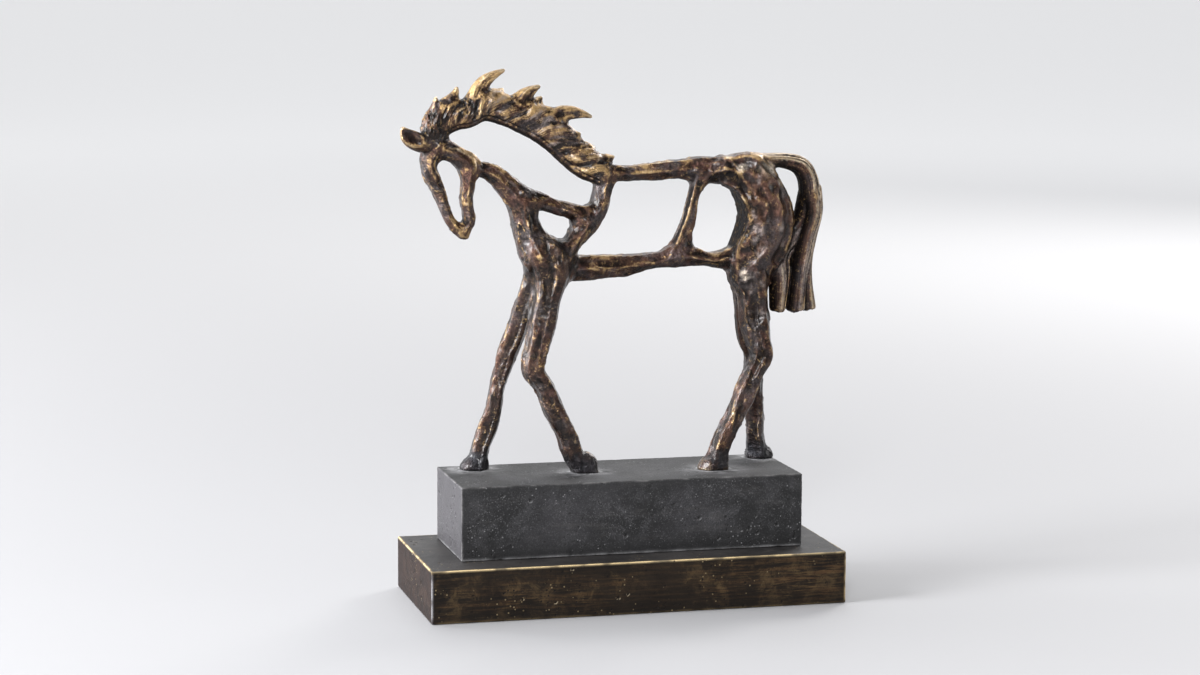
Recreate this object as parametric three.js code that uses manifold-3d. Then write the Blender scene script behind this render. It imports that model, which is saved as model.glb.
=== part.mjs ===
// Openwork walking horse, cast in one piece, on a stepped plinth of two blocks.
// Millimetres, +Z up. The origin is the centre of the plinth's underside; the
// horse faces -X and its near side looks towards -Y.
import * as THREE from 'three';
import { mergeVertices } from 'three/addons/utils/BufferGeometryUtils.js';
import Module from 'manifold-3d';

const wasm = await Module();
wasm.setup();

// ---------------------------------------------------------------- plinth sizes
const SLAB = { length: 380, depth: 158, height: 47, edge: 1.2 };
const BLOCK = { length: 315, depth: 108, top: 113.5, x: 1, y: 8, edge: 1.0 };
const GAP = 0.3;                       // joint between two separate pieces
const HOOF_PLANE = BLOCK.top + GAP;    // the hooves stand here

// ----------------------------------------------------------------- horse sizes
const MIDDLE = 21;                     // y of the horse's centre plane
const SIDES = 10;                      // facets round a strut
const STEP = 11;                       // mm between rings along a strut

// Every strut is an oval bar bent in the horse's long plane. `s` lists its
// sections as [x, z, half width]; `d` is the half depth across the horse at the
// start, middle and end, and `y` the height of its axis off the centre plane.
const STRUTS = {
  // trunk
  back:      { y: [0, 0, 0], d: [10, 9.5, 17], s: [[-8, 383, 7.5], [34.5, 384, 8], [58, 385.5, 8.5], [81, 384, 12], [99.5, 384, 12]] },
  rump:      { y: [0, 0, 0], d: [18, 23, 20], s: [[107.5, 384, 14.5], [124, 379, 21], [135.5, 360.5, 23.5], [141, 344, 25.5], [139, 323, 26], [130, 305.5, 23.5], [126.5, 289.5, 17.5]] },
  belly:     { y: [0, 0, 0], d: [13, 10, 14], s: [[-35.5, 298, 11], [14, 299.5, 9.5], [39, 303.5, 7.5], [61, 307.5, 11.5], [86, 303.5, 6.5], [109.5, 303, 10.5]] },
  flank:     { y: [0, 0, 0], d: [9, 7, 10], s: [[79, 375.5, 9], [73.5, 361, 5.5], [65, 329, 7.5], [62, 317, 10], [56.5, 309, 9]] },
  withers:   { y: [0, 0, 0], d: [12, 11.5, 18], s: [[-8.5, 382, 10], [-12.5, 369, 8.5], [-15.5, 353.5, 9], [-24, 342.5, 11], [-43, 317, 8], [-53.5, 300.5, 16]] },
  shoulder:  { y: [0, 0, 0], d: [10, 8.5, 11], s: [[-86.5, 361, 10.5], [-71, 358, 8], [-40.5, 348.5, 7.5], [-30, 341, 12.5]] },
  throat:    { y: [0, 0, 0], d: [9, 12, 19], s: [[-130, 390, 5.5], [-114, 384, 8.5], [-87, 357, 13.5], [-84, 340, 11], [-76.5, 318, 15.5], [-72.5, 310.5, 15]] },
  // legs
  near_fore: { y: [-7, -13.5, -14], d: [15, 10.5, 10], s: [[-64.5, 309.5, 16.5], [-61.5, 293.5, 14.5], [-70.5, 247.5, 12.5], [-78.5, 208, 10], [-69.5, 193.5, 9], [-61, 173.5, 9.5], [-49.5, 151.5, 9], [-46, 140, 9], [-37, 117, 7]] },
  near_toe:  { y: [-14, -14, -14], d: [9, 9.5, 9.5], s: [[-36, 124, 8.5], [-29.5, 121, 10], [-24, 112, 5.5]] },
  far_fore:  { y: [7, 18.5, 22], d: [13, 9.5, 11], s: [[-73.5, 298, 8], [-84, 261, 8], [-88.5, 241, 9], [-96.5, 220.5, 10], [-106, 184.5, 7], [-114.5, 148.5, 9.5], [-121.5, 130, 9.5], [-125.5, 112, 12.5]] },
  near_hind: { y: [-9, -19.5, -26], d: [14, 9.7, 11], s: [[125, 293.5, 17], [128.5, 272.5, 14], [128.5, 250, 13.5], [131.5, 230.5, 11], [134, 216, 11], [125.5, 201, 9.5], [107, 161.5, 8.5], [95.5, 139, 9], [90.5, 125.5, 11.5], [86, 112, 14]] },
  far_hind:  { y: [9, 18.5, 24], d: [14, 9.5, 11], s: [[127, 292, 16.5], [129, 267.5, 13.5], [131.5, 242, 13.5], [135, 224, 12.5], [137, 211.5, 9], [137.5, 186.5, 9.5], [139.5, 163, 9], [142, 133, 9.5], [147, 111, 13]] },
  // head: a loop of two bars, with an ear on each side
  nose:      { y: [0, 0, 0], d: [12, 8, 8.5], s: [[-164.5, 410, 13.5], [-172, 393.5, 7.5], [-161.5, 365, 6], [-155.5, 347, 4.5], [-149, 338, 6], [-138.5, 332.5, 8.5]] },
  jaw:       { y: [0, 0, 0], d: [12, 9, 8.5], s: [[-159.5, 406, 9.5], [-146.5, 400.5, 9], [-135.5, 391, 11], [-136.5, 379, 7], [-138.5, 362.5, 6.5], [-134.5, 342.5, 6]] },
  near_ear:  { y: [-7, -10, -11.5], d: [6, 6, 2.5], s: [[-176, 411, 7.5], [-193, 419, 6.5], [-197.5, 425.5, 2.5]] },
  far_ear:   { y: [9, 11, 12.5], d: [6, 6, 2.5], s: [[-171.5, 408.5, 7.5], [-188, 413.5, 6.5], [-192.5, 420, 2.5]] },
  // mane: an arched crest
  crest:     { y: [0, 0, 0], d: [11, 8.3, 12], s: [[-168.5, 421, 10.5], [-164.5, 429, 13.5], [-149.5, 436.5, 14], [-136.5, 437.5, 12.5], [-121, 445.5, 14.5], [-101, 439.5, 13.5], [-68, 427, 17], [-53, 414.5, 15], [-28, 392.5, 14.5], [-14.5, 383, 10.5]] },
  // tail: it springs over the croup, then hangs in three locks
  tail_root: { y: [0, 0, 0], d: [14, 10.5, 12.5], s: [[127.5, 388.5, 11], [144.5, 392, 6.5], [174, 387, 8.5], [181.5, 375.5, 8.5], [184.5, 359.5, 9.5]] },
  near_lock: { y: [-2, -7, -7], d: [11, 11, 10.5], s: [[183, 360.5, 9], [178, 339.5, 8.5], [170.5, 326, 9.5], [156, 305, 12], [156, 284, 10.5], [154, 258.5, 7.5]] },
  mid_lock:  { y: [1, 1, 1], d: [12, 12.5, 11], s: [[185, 360, 8.5], [185, 341.5, 9], [180, 324, 8.5], [172.5, 284, 7.5], [170.5, 258.5, 9]] },
  far_lock:  { y: [3, 6, 7], d: [11, 10.5, 8.5], s: [[187.5, 365.5, 7.5], [189, 346, 7], [181.5, 301.5, 5], [184, 257.5, 7]] },
};

// Flame-like locks along the crest, front to back: base, tip, half width at the
// base, backward curl of the tip, and which way the tip leans off the centre.
const LOCKS = [
  { base: [-164, 436], tip: [-166, 452], w: 9, curl: 0, lean: -3 },
  { base: [-155.5, 443], tip: [-146.5, 460.5], w: 10, curl: -1, lean: -1 },
  { base: [-130, 447], tip: [-104.5, 476], w: 11, curl: 6, lean: -3 },
  { base: [-113, 450.5], tip: [-103.5, 459], w: 9, curl: 0, lean: 6 },
  { base: [-90, 445], tip: [-72, 461.5], w: 11.5, curl: 2.5, lean: -2 },
  { base: [-77, 442], tip: [-68.5, 451.5], w: 10, curl: 0, lean: 5 },
  { base: [-62.5, 430], tip: [-24.5, 434.5], w: 12, curl: 5.5, lean: -3 },
  { base: [-46, 411], tip: [-35, 419], w: 9, curl: 0, lean: -4 },
  { base: [-29, 402.5], tip: [-20, 406], w: 9.5, curl: 0, lean: 3 },
  { base: [-14, 391], tip: [-3, 398], w: 9.5, curl: 0.5, lean: -2 },
];
LOCKS.forEach(({ base, tip, w, curl, lean }, i) => {
  const s = [];
  const ux = tip[0] - base[0], uz = tip[1] - base[1], len = Math.hypot(ux, uz);
  for (const t of [0, 0.45, 0.8, 1]) {
    const bow = curl * Math.sin(Math.PI * t);
    s.push([base[0] + ux * t - uz / len * bow, base[1] + uz * t + ux / len * bow, Math.max(w * (1 - 0.83 * t), 1.6)]);
  }
  STRUTS['lock_' + (i + 1)] = { y: [0, lean * 0.6, lean], d: [8, 5.5, 2.5], s };
});

// --------------------------------------------------------------------- helpers
const solid = (geometry) => {
  let g = geometry.clone();
  g.deleteAttribute('normal');
  g.deleteAttribute('uv');
  g = mergeVertices(g, 1e-4);
  return new wasm.Manifold(new wasm.Mesh({
    numProp: 3,
    vertProperties: new Float32Array(g.attributes.position.array),
    triVerts: new Uint32Array(g.index.array),
  }));
};

const geometryOf = (manifold) => {
  const m = manifold.getMesh();
  const g = new THREE.BufferGeometry();
  g.setAttribute('position', new THREE.BufferAttribute(new Float32Array(m.vertProperties), 3));
  g.setIndex(new THREE.BufferAttribute(new Uint32Array(m.triVerts), 1));
  g.computeVertexNormals();
  return g;
};

// value of a parabola through three values at 0, 1/2 and 1
const through = ([a, b, c], t) => a * (1 - t) * (1 - 2 * t) + 4 * b * t * (1 - t) + c * t * (2 * t - 1);

const strutGeometry = ({ y, d, s }) => {
  const n = s.length - 1;
  const axis = new THREE.CatmullRomCurve3(
    s.map(([x, z], i) => new THREE.Vector3(x, MIDDLE + through(y, i / n), z)), false, 'catmullrom', 0.5);
  const size = new THREE.CatmullRomCurve3(
    s.map(([, , w], i) => new THREE.Vector3(w, through(d, i / n), 0)), false, 'catmullrom', 0.5);
  const rings = Math.max(2, Math.round(axis.getLength() / STEP));
  const g = new THREE.CylinderGeometry(1, 1, 1, SIDES, rings + 2);
  const p = g.attributes.position;
  for (let i = 0; i < p.count; i++) {
    const ring = Math.round((p.getY(i) + 0.5) * (rings + 2)) - 1;   // -1 and rings + 1 are the rounded ends
    const t = Math.min(Math.max(ring / rings, 0), 1);
    const end = ring < 0 ? -1 : ring > rings ? 1 : 0;
    const c = axis.getPoint(t), r = size.getPoint(t), along = axis.getTangent(t);
    const side = new THREE.Vector3().crossVectors(along, new THREE.Vector3(0, 1, 0)).normalize();
    const deep = new THREE.Vector3().crossVectors(side, along);
    const k = end ? 0.6 : 1;
    c.addScaledVector(side, p.getX(i) * r.x * k)
      .addScaledVector(deep, p.getZ(i) * r.y * k)
      .addScaledVector(along, end * 0.6 * Math.min(r.x, r.y));
    p.setXYZ(i, c.x, c.y, c.z);
  }
  return g;
};

// ----------------------------------------------------------------------- horse
const horseSolid = () => {
  let body = null;
  for (const strut of Object.values(STRUTS)) {
    const piece = solid(strutGeometry(strut));
    body = body ? body.add(piece) : piece;
  }
  // the undersides of the hooves are flat
  const floor = new THREE.BoxGeometry(500, 300, 100).translate(0, 0, HOOF_PLANE - 50);
  return body.subtract(solid(floor));
};

// -------------------------------------------------------------------- plinth
// a slab with softened edges: its outline has rounded corners, and the top and
// bottom rims are bevelled
const slabGeometry = (length, depth, height, edge) => {
  const r = edge * 1.5, hx = length / 2 - edge, hy = depth / 2 - edge;
  const outline = new THREE.Shape();
  outline.moveTo(-hx + r, -hy);
  outline.lineTo(hx - r, -hy).absarc(hx - r, -hy + r, r, -Math.PI / 2, 0);
  outline.lineTo(hx, hy - r).absarc(hx - r, hy - r, r, 0, Math.PI / 2);
  outline.lineTo(-hx + r, hy).absarc(-hx + r, hy - r, r, Math.PI / 2, Math.PI);
  outline.lineTo(-hx, -hy + r).absarc(-hx + r, -hy + r, r, Math.PI, Math.PI * 1.5);
  return new THREE.ExtrudeGeometry(outline, {
    depth: height - 2 * edge, bevelEnabled: true, bevelThickness: edge, bevelSize: edge,
    bevelSegments: 2, curveSegments: 4,
  }).translate(0, 0, edge);
};

// ----------------------------------------------------------------------- model
const piece = (name, geometry, color, roughness, metalness) => {
  const mesh = new THREE.Mesh(geometry, new THREE.MeshStandardMaterial({ color, roughness, metalness }));
  mesh.name = name;
  return mesh;
};

const sculpture = new THREE.Group();

const slab = piece('lower_slab', slabGeometry(SLAB.length, SLAB.depth, SLAB.height, SLAB.edge), 0x3a2e24, 0.55, 0.35);
sculpture.add(slab);

const block = piece('upper_block',
  slabGeometry(BLOCK.length, BLOCK.depth, BLOCK.top - SLAB.height - GAP, BLOCK.edge), 0x2e2e30, 0.7, 0.1);
block.position.set(BLOCK.x, BLOCK.y, SLAB.height + GAP);
sculpture.add(block);

const horse = piece('horse', geometryOf(horseSolid()), 0x6b4a2c, 0.42, 0.85);
sculpture.add(horse);

export default sculpture;
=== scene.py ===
import math

import bpy
import numpy as np
from mathutils import Matrix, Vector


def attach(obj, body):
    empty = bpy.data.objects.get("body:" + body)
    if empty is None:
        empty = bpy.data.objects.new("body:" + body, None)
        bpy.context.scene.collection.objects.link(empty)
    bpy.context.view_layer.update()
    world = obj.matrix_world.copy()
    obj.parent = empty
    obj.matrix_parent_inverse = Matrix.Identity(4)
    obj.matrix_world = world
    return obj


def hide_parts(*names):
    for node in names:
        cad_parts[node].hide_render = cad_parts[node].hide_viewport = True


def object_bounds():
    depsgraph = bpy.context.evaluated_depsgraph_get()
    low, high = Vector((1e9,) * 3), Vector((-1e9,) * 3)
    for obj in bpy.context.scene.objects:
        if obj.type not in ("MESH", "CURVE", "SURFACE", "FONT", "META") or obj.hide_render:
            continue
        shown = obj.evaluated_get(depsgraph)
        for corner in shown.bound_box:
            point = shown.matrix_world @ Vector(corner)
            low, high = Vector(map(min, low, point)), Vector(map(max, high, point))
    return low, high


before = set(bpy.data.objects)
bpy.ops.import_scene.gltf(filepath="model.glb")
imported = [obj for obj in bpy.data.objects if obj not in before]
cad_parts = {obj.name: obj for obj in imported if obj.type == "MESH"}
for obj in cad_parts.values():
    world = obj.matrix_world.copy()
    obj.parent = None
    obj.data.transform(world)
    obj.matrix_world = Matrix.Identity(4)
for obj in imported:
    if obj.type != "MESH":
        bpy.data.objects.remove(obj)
cad_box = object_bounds()
F32 = np.float32

# ---------------------------------------------------------------- sizes, in mm
SLAB = dict(x=(-190.0, 190.0), y=(-79.0, 79.0), z=(0.0, 47.0))
BLOCK = dict(x=(-156.5, 158.5), y=(-46.0, 62.0), z=(47.3, 113.5))
HOOF_PLANE = 113.8
MIDDLE = 21.0

# Every strut is a bar bent in the horse's long plane. s: sections as (x, z, half
# width). d: half depth across the horse at the start, middle and end. y: the
# height of the axis off the centre plane. p: how square the section is. k: how
# widely it melts into its neighbours. facets: flat planes round the section, as
# (angle, how far out), 270 being the near side; turn twists them along the bar.
LEG = [(194, .96), (262, .92), (346, .97), (60, .95), (120, .95)]
FAR_LEG = [(168, .96), (246, .92), (335, .96), (60, .95), (120, .95)]
BAR = [(185, 1.0), (238, .92), (298, .92), (2, 1.0), (62, .92), (122, .92)]
S = {
    'back':      dict(y=(0, 0, 0), d=(10.5, 9.5, 17), p=2.6, k=5, facets=BAR, s=[(-8, 383, 7.3), (13.5, 383, 7.0), (34.5, 384, 8.1), (58, 385.5, 8.5), (81, 384.5, 12), (99.5, 384.5, 12.3)]),
    'rump':      dict(y=(0, 0, 0), d=(17, 22.5, 19), p=3.6, k=6, facets=[(180, .985), (262, .95), (295, .97), (0, 1.0), (78, .96), (110, .97)], s=[(104.5, 384, 13.2), (124.6, 379, 20.4), (137, 360.5, 21.9), (142.4, 344, 23.4), (140, 323, 24.4), (130.4, 305.5, 22.9), (126.6, 289.5, 17.2)]),
    'belly':     dict(y=(0, 0, 0), d=(13.5, 10, 14), p=2.5, k=5, facets=BAR, s=[(-35.5, 298, 11.3), (-7.5, 298.5, 11), (14, 299.6, 9.7), (39, 303.4, 7.4), (61, 307.3, 10.6), (86, 303.3, 6.8), (109.6, 303, 10.4)]),
    'flank':     dict(y=(0, 0, 0), d=(11, 8.5, 10.5), p=2.0, k=5, facets=[(194, .95), (274, .9), (345, .99), (45, .92), (120, .92)], s=[(79, 375.5, 9), (73.7, 361, 5.6), (69.5, 341.4, 6.6), (65.2, 328.8, 7.4), (62, 317, 9.8), (56.5, 309, 9.2)]),
    'withers':   dict(y=(0, 0, 0), d=(12.5, 12, 18), p=2.5, k=5, facets=[(186, .95), (236, .9), (300, .92), (355, .97), (62, .92), (120, .92)], s=[(-8.4, 382, 10), (-12.4, 369, 8.6), (-15.5, 353.7, 9.2), (-24, 342.3, 10.7), (-33.5, 329.4, 9.8), (-43, 317, 8.2), (-53.4, 300.4, 15.6)]),
    'shoulder':  dict(y=(0, 0, 0), d=(10.5, 9, 11.5), p=2.4, k=5, facets=BAR, s=[(-86.5, 361.2, 10.4), (-71, 358.1, 8.2), (-56, 353.4, 7.1), (-40.5, 348.6, 7.6), (-30, 341, 12)]),
    'throat':    dict(y=(1.5, 0, 0), d=(8, 12.5, 19), p=2.6, k=5, facets=[(184, .97), (232, .9), (292, .93), (0, .98), (62, .92), (120, .92)], s=[(-130, 390, 5.6), (-113.8, 383.8, 8.5), (-101.2, 372.8, 10.9), (-87, 356.8, 13.5), (-84, 340, 11.2), (-76.3, 318.2, 15.2), (-72.3, 310.7, 14.8)]),
    'near_fore': dict(y=(-5, -13.5, -14), d=(15.5, 11, 10), p=2.9, k=14, facets=LEG, turn=14, s=[(-64.6, 309.6, 16), (-61.7, 293.4, 14.4), (-65.2, 272.5, 12.7), (-70.5, 247.7, 12.4), (-76, 225.8, 10.4), (-78.7, 207.9, 10), (-69.7, 193.7, 8.9), (-61.2, 173.7, 9.1), (-49.6, 151.5, 8.8), (-45.2, 139, 8.9), (-37, 117, 7)]),
    'near_toe':  dict(y=(-14, -14, -14), d=(9.3, 10, 9.8), p=2.5, k=4, s=[(-36, 124, 8.2), (-29.5, 121.3, 9.6), (-24, 112, 5.4)]),
    'far_fore':  dict(y=(7, 18.5, 22), d=(13, 9.7, 11), p=2.9, k=8, facets=FAR_LEG, turn=-10, s=[(-73.7, 297.8, 8.2), (-78.2, 278.9, 8.2), (-83.9, 261, 8), (-88.3, 241.1, 9.1), (-96.3, 220.5, 9.8), (-101, 201.9, 7.9), (-105.8, 184.4, 7), (-109.2, 165.5, 8), (-114.3, 148.4, 9.3), (-120.3, 132, 8.6), (-124.8, 112, 10.4)]),
    'near_hind': dict(y=(-1, -19, -26), d=(14, 10.4, 11), p=2.9, k=10, facets=LEG, turn=18, s=[(131.5, 324, 17), (125.6, 293.7, 16.6), (128.4, 272.7, 14), (128.5, 249.9, 13.2), (131.3, 230.5, 11.1), (134.2, 216, 10.8), (125.7, 200.8, 9.3), (117.2, 183, 9), (107.1, 161.3, 8.5), (95.5, 138.8, 8.8), (91.6, 127, 9.4), (88, 112, 10.8)]),
    'far_hind':  dict(y=(9, 18.5, 24), d=(14, 9.7, 11), p=2.9, k=9, facets=FAR_LEG, turn=-12, s=[(127, 292, 16.5), (128.8, 267.7, 13.3), (131.7, 242, 13.2), (135.1, 224.1, 12.2), (137.1, 211.3, 9.1), (137.5, 186.7, 9.2), (139.6, 163.2, 8.9), (141.5, 133, 8.6), (145, 111, 10.2)]),
    'nose':      dict(y=(0, -1, -.5), d=(12, 8, 8.5), p=2.3, k=4.5, facets=[(186, .95), (240, .88), (305, .9), (0, .96), (60, .92), (120, .92)], s=[(-164.4, 409.8, 13.2), (-171.8, 393.4, 7.5), (-167.4, 378.8, 7.3), (-161.4, 365.2, 6.2), (-155.4, 347.2, 4.8), (-149.2, 338.2, 5.6), (-141.2, 331.4, 6.2)]),
    'jaw':       dict(y=(0, -2.2, -.5), d=(12, 10, 8.5), p=2.4, k=4.5, facets=[(186, .95), (244, .9), (300, .9), (0, .97), (60, .92), (120, .92)], s=[(-159.3, 406.2, 9.6), (-146.7, 400.5, 8.8), (-135.7, 391.2, 11), (-136.4, 379.2, 7), (-138.7, 362.4, 6.4), (-137.4, 352.5, 5.9), (-135.6, 343, 6.2), (-139.2, 334.5, 5.6)]),
    'near_ear':  dict(y=(-6, -10, -12), d=(6, 6, 3), p=2.0, k=2.5, zone='ear', s=[(-176, 411, 7.3), (-186.4, 415.3, 8), (-192.9, 419.2, 6.3), (-197, 425.3, 2.2)]),
    'far_ear':   dict(y=(8, 12, 13.5), d=(6, 6, 3), p=2.0, k=2.5, zone='ear', s=[(-171, 408.4, 7.3), (-181.2, 412.2, 7.8), (-187.9, 416, 6.3), (-192.2, 421, 2.2)]),
    'crest':     dict(y=(0, 0, 0), d=(11, 8.3, 12), p=2.2, k=4.5, zone='mane', s=[(-168.7, 421.1, 10.5), (-164.3, 429.2, 13.4), (-149.3, 436.7, 14.2), (-136.6, 437.5, 12.4), (-121.1, 445.5, 14.3), (-100.9, 439.7, 13.6), (-86.3, 434, 14.3), (-68, 427.2, 16.6), (-53.2, 414.7, 15.2), (-40, 401.9, 14.7), (-28.1, 392.3, 14.4), (-14.4, 383.2, 10.6)]),
    'tail_root': dict(y=(0, 0, 0), d=(14, 11, 12.5), p=2.7, k=5, zone='tail', s=[(127.3, 388.3, 11.2), (144.3, 392.2, 6.8), (159.6, 391.8, 6.9), (174, 387.1, 8.3), (181.5, 375.5, 8.4), (184.4, 359.3, 9.3)]),
    'near_lock': dict(y=(2, 2, -1.5), d=(10.5, 10, 10), p=2.05, k=1.0, zone='tail', s=[(182.8, 360.4, 8.8), (177.8, 339.6, 8.3), (170.4, 326, 9.4), (155.8, 304.8, 11.8), (156.2, 283.9, 10.2), (154, 258.5, 7.3)]),
    'mid_lock':  dict(y=(0, -2, -2), d=(12.5, 12.5, 11.5), p=2.05, k=1.1, zone='tail', s=[(184.9, 359.9, 8.5), (185.2, 341.7, 9), (179.8, 323.8, 8.3), (176, 304.8, 8.6), (172.7, 284, 7.6), (170.6, 258.6, 8.8)]),
    'far_lock':  dict(y=(1, 1.5, 2), d=(11.5, 11.5, 10.5), p=2.1, k=1.1, zone='tail', s=[(187.3, 365.4, 7.4), (189, 345.8, 6.9), (184.6, 323.1, 6), (181.6, 301.7, 5), (181.8, 280.8, 5.2), (184, 257.6, 6.8)]),
}

# Flame-like locks along the crest: base, tip, half width at the base, how far the
# lock bows backwards, and which way its tip leans off the centre plane.
LOCKS = [
    dict(base=(-164, 436), tip=(-166, 451.5), w=8.5, curl=0, lean=-3),
    dict(base=(-155.5, 443), tip=(-146.5, 460), w=9.5, curl=-1, lean=-1),
    dict(base=(-130, 447), tip=(-104.8, 475.5), w=10.8, curl=6, lean=-3),
    dict(base=(-113, 450.5), tip=(-104, 458.5), w=8.5, curl=0, lean=6),
    dict(base=(-90, 445), tip=(-72.3, 461), w=11, curl=2.5, lean=-2),
    dict(base=(-77, 442), tip=(-68.8, 451), w=9.5, curl=0, lean=5),
    dict(base=(-62.5, 430), tip=(-25, 434.3), w=11.6, curl=5.5, lean=-3),
    dict(base=(-46, 411), tip=(-35.4, 418.8), w=8.8, curl=0, lean=-4),
    dict(base=(-29, 402.5), tip=(-20.3, 405.8), w=9.2, curl=0, lean=3),
    dict(base=(-14, 391), tip=(-3.3, 397.7), w=9.2, curl=.5, lean=-2),
]
for i, L in enumerate(LOCKS):
    (x0, z0), (x1, z1) = L['base'], L['tip']
    n = math.hypot(x1 - x0, z1 - z0)
    rows = []
    for t in (0, .45, .8, 1):
        bow = L['curl'] * math.sin(math.pi * t)
        rows.append((x0 + (x1 - x0) * t - (z1 - z0) / n * bow, z0 + (z1 - z0) * t + (x1 - x0) / n * bow, max(L['w'] * (1 - .83 * t), 1.5)))
    S['lock_%d' % (i + 1)] = dict(y=(0, L['lean'] * .6, L['lean']), d=(7.5, 4.8, 2.2), p=1.7, k=3.5, zone='mane', s=rows)

ZONES = {'body': 0, 'mane': 1, 'tail': 2, 'ear': 3}


# ------------------------------------------------------------------ noise tools
def hashed(ix, iy, iz, seed):
    h = (ix * 374761393 + iy * 668265263 + iz * 1442695041 + seed * 97911247) & 0xffffffff
    h = ((h ^ (h >> 13)) * 1274126177) & 0xffffffff
    h = ((h ^ (h >> 16)) * 2246822519) & 0xffffffff
    return ((h ^ (h >> 15)) & 0xffffff) / float(0xffffff)


TURN = np.array(Matrix.Rotation(.61, 3, 'X') @ Matrix.Rotation(.83, 3, 'Y') @ Matrix.Rotation(.47, 3, 'Z'))


def noise(P, size, seed=0):
    """smooth noise from -1 to 1, one bump to each size mm"""
    q = (np.asarray(P, np.float64) / np.asarray(size, np.float64)) @ TURN + 511.3
    i = np.floor(q).astype(np.int64)
    f = q - i
    u = f * f * f * (f * (f * 6 - 15) + 10)
    out = 0.0
    for dx in (0, 1):
        wx = u[:, 0] if dx else 1 - u[:, 0]
        for dy in (0, 1):
            wy = u[:, 1] if dy else 1 - u[:, 1]
            for dz in (0, 1):
                wz = u[:, 2] if dz else 1 - u[:, 2]
                out = out + wx * wy * wz * hashed(i[:, 0] + dx, i[:, 1] + dy, i[:, 2] + dz, seed)
    return out * 2 - 1


def fbm(P, size, seed=0, octaves=3, gain=.5):
    total, amp, norm = 0.0, 1.0, 0.0
    size = np.asarray(size, float)
    for o in range(octaves):
        total = total + amp * noise(P, size / 2 ** o, seed + 17 * o)
        norm += amp
        amp *= gain
    return total / norm


def scoops(P, size, seed=0, uneven=.45):
    """shallow scooped hollows with sharp ridges between them, about -1 to 1"""
    q = np.asarray(P, np.float64) / np.asarray(size, np.float64) + 311.7
    i = np.floor(q).astype(np.int64)
    best = np.full(len(q), 9.0)
    for dx in (-1, 0, 1):
        for dy in (-1, 0, 1):
            for dz in (-1, 0, 1):
                j = i + (dx, dy, dz)
                r = uneven * hashed(j[:, 0], j[:, 1], j[:, 2], seed + 4)
                for s in range(3):
                    r = r + (q[:, s] - j[:, s] - hashed(j[:, 0], j[:, 1], j[:, 2], seed + s + 1)) ** 2
                np.minimum(best, r, out=best)
    return best * 2.2 - 1


def step(a, b, x):
    t = np.clip((x - a) / (b - a), 0, 1)
    return t * t * (3 - 2 * t)


# ------------------------------------------------------------------- the sculpt
def through(v, t):
    a, b, c = v
    return a * (1 - t) * (1 - 2 * t) + 4 * b * t * (1 - t) + c * t * (2 * t - 1)


def resample(st, spacing=2.5):
    s = st['s']
    n = len(s)
    P = np.array([(x, MIDDLE + through(st['y'], i / (n - 1)), z, w, max(through(st['d'], i / (n - 1)), 1.2)) for i, (x, z, w) in enumerate(s)], float)
    P = np.vstack([2 * P[0] - P[1], P, 2 * P[-1] - P[-2]])
    out = []
    for i in range(1, n):
        a, b, c, d = P[i - 1], P[i], P[i + 1], P[i + 2]
        m0, m1 = .5 * (c - a), .5 * (d - b)
        m = max(2, int(math.ceil(np.linalg.norm((c - b)[:3]) / spacing)))
        for j in range(m):
            t = j / m
            out.append((2 * t ** 3 - 3 * t ** 2 + 1) * b + (t ** 3 - 2 * t ** 2 + t) * m0 + (-2 * t ** 3 + 3 * t ** 2) * c + (t ** 3 - t ** 2) * m1)
    out.append(P[-2])
    out = np.array(out)
    out[:, 3] = np.maximum(out[:, 3], 1.0)
    return out


VOX = 1.02
LO = np.array([-202.0, -20.0, HOOF_PLANE - 3.0])
HI = np.array([200.5, 60.0, 481.0])
DIM = np.ceil((HI - LO) / VOX).astype(int) + 1
AX = [(LO[i] + VOX * np.arange(DIM[i])).astype(F32) for i in range(3)]
FAR = 12.0

field = np.full(DIM, FAR, F32)
bar = np.zeros(DIM, np.uint8)      # the bar that lies nearest
NAMES = list(S)
BARS = {}


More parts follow.
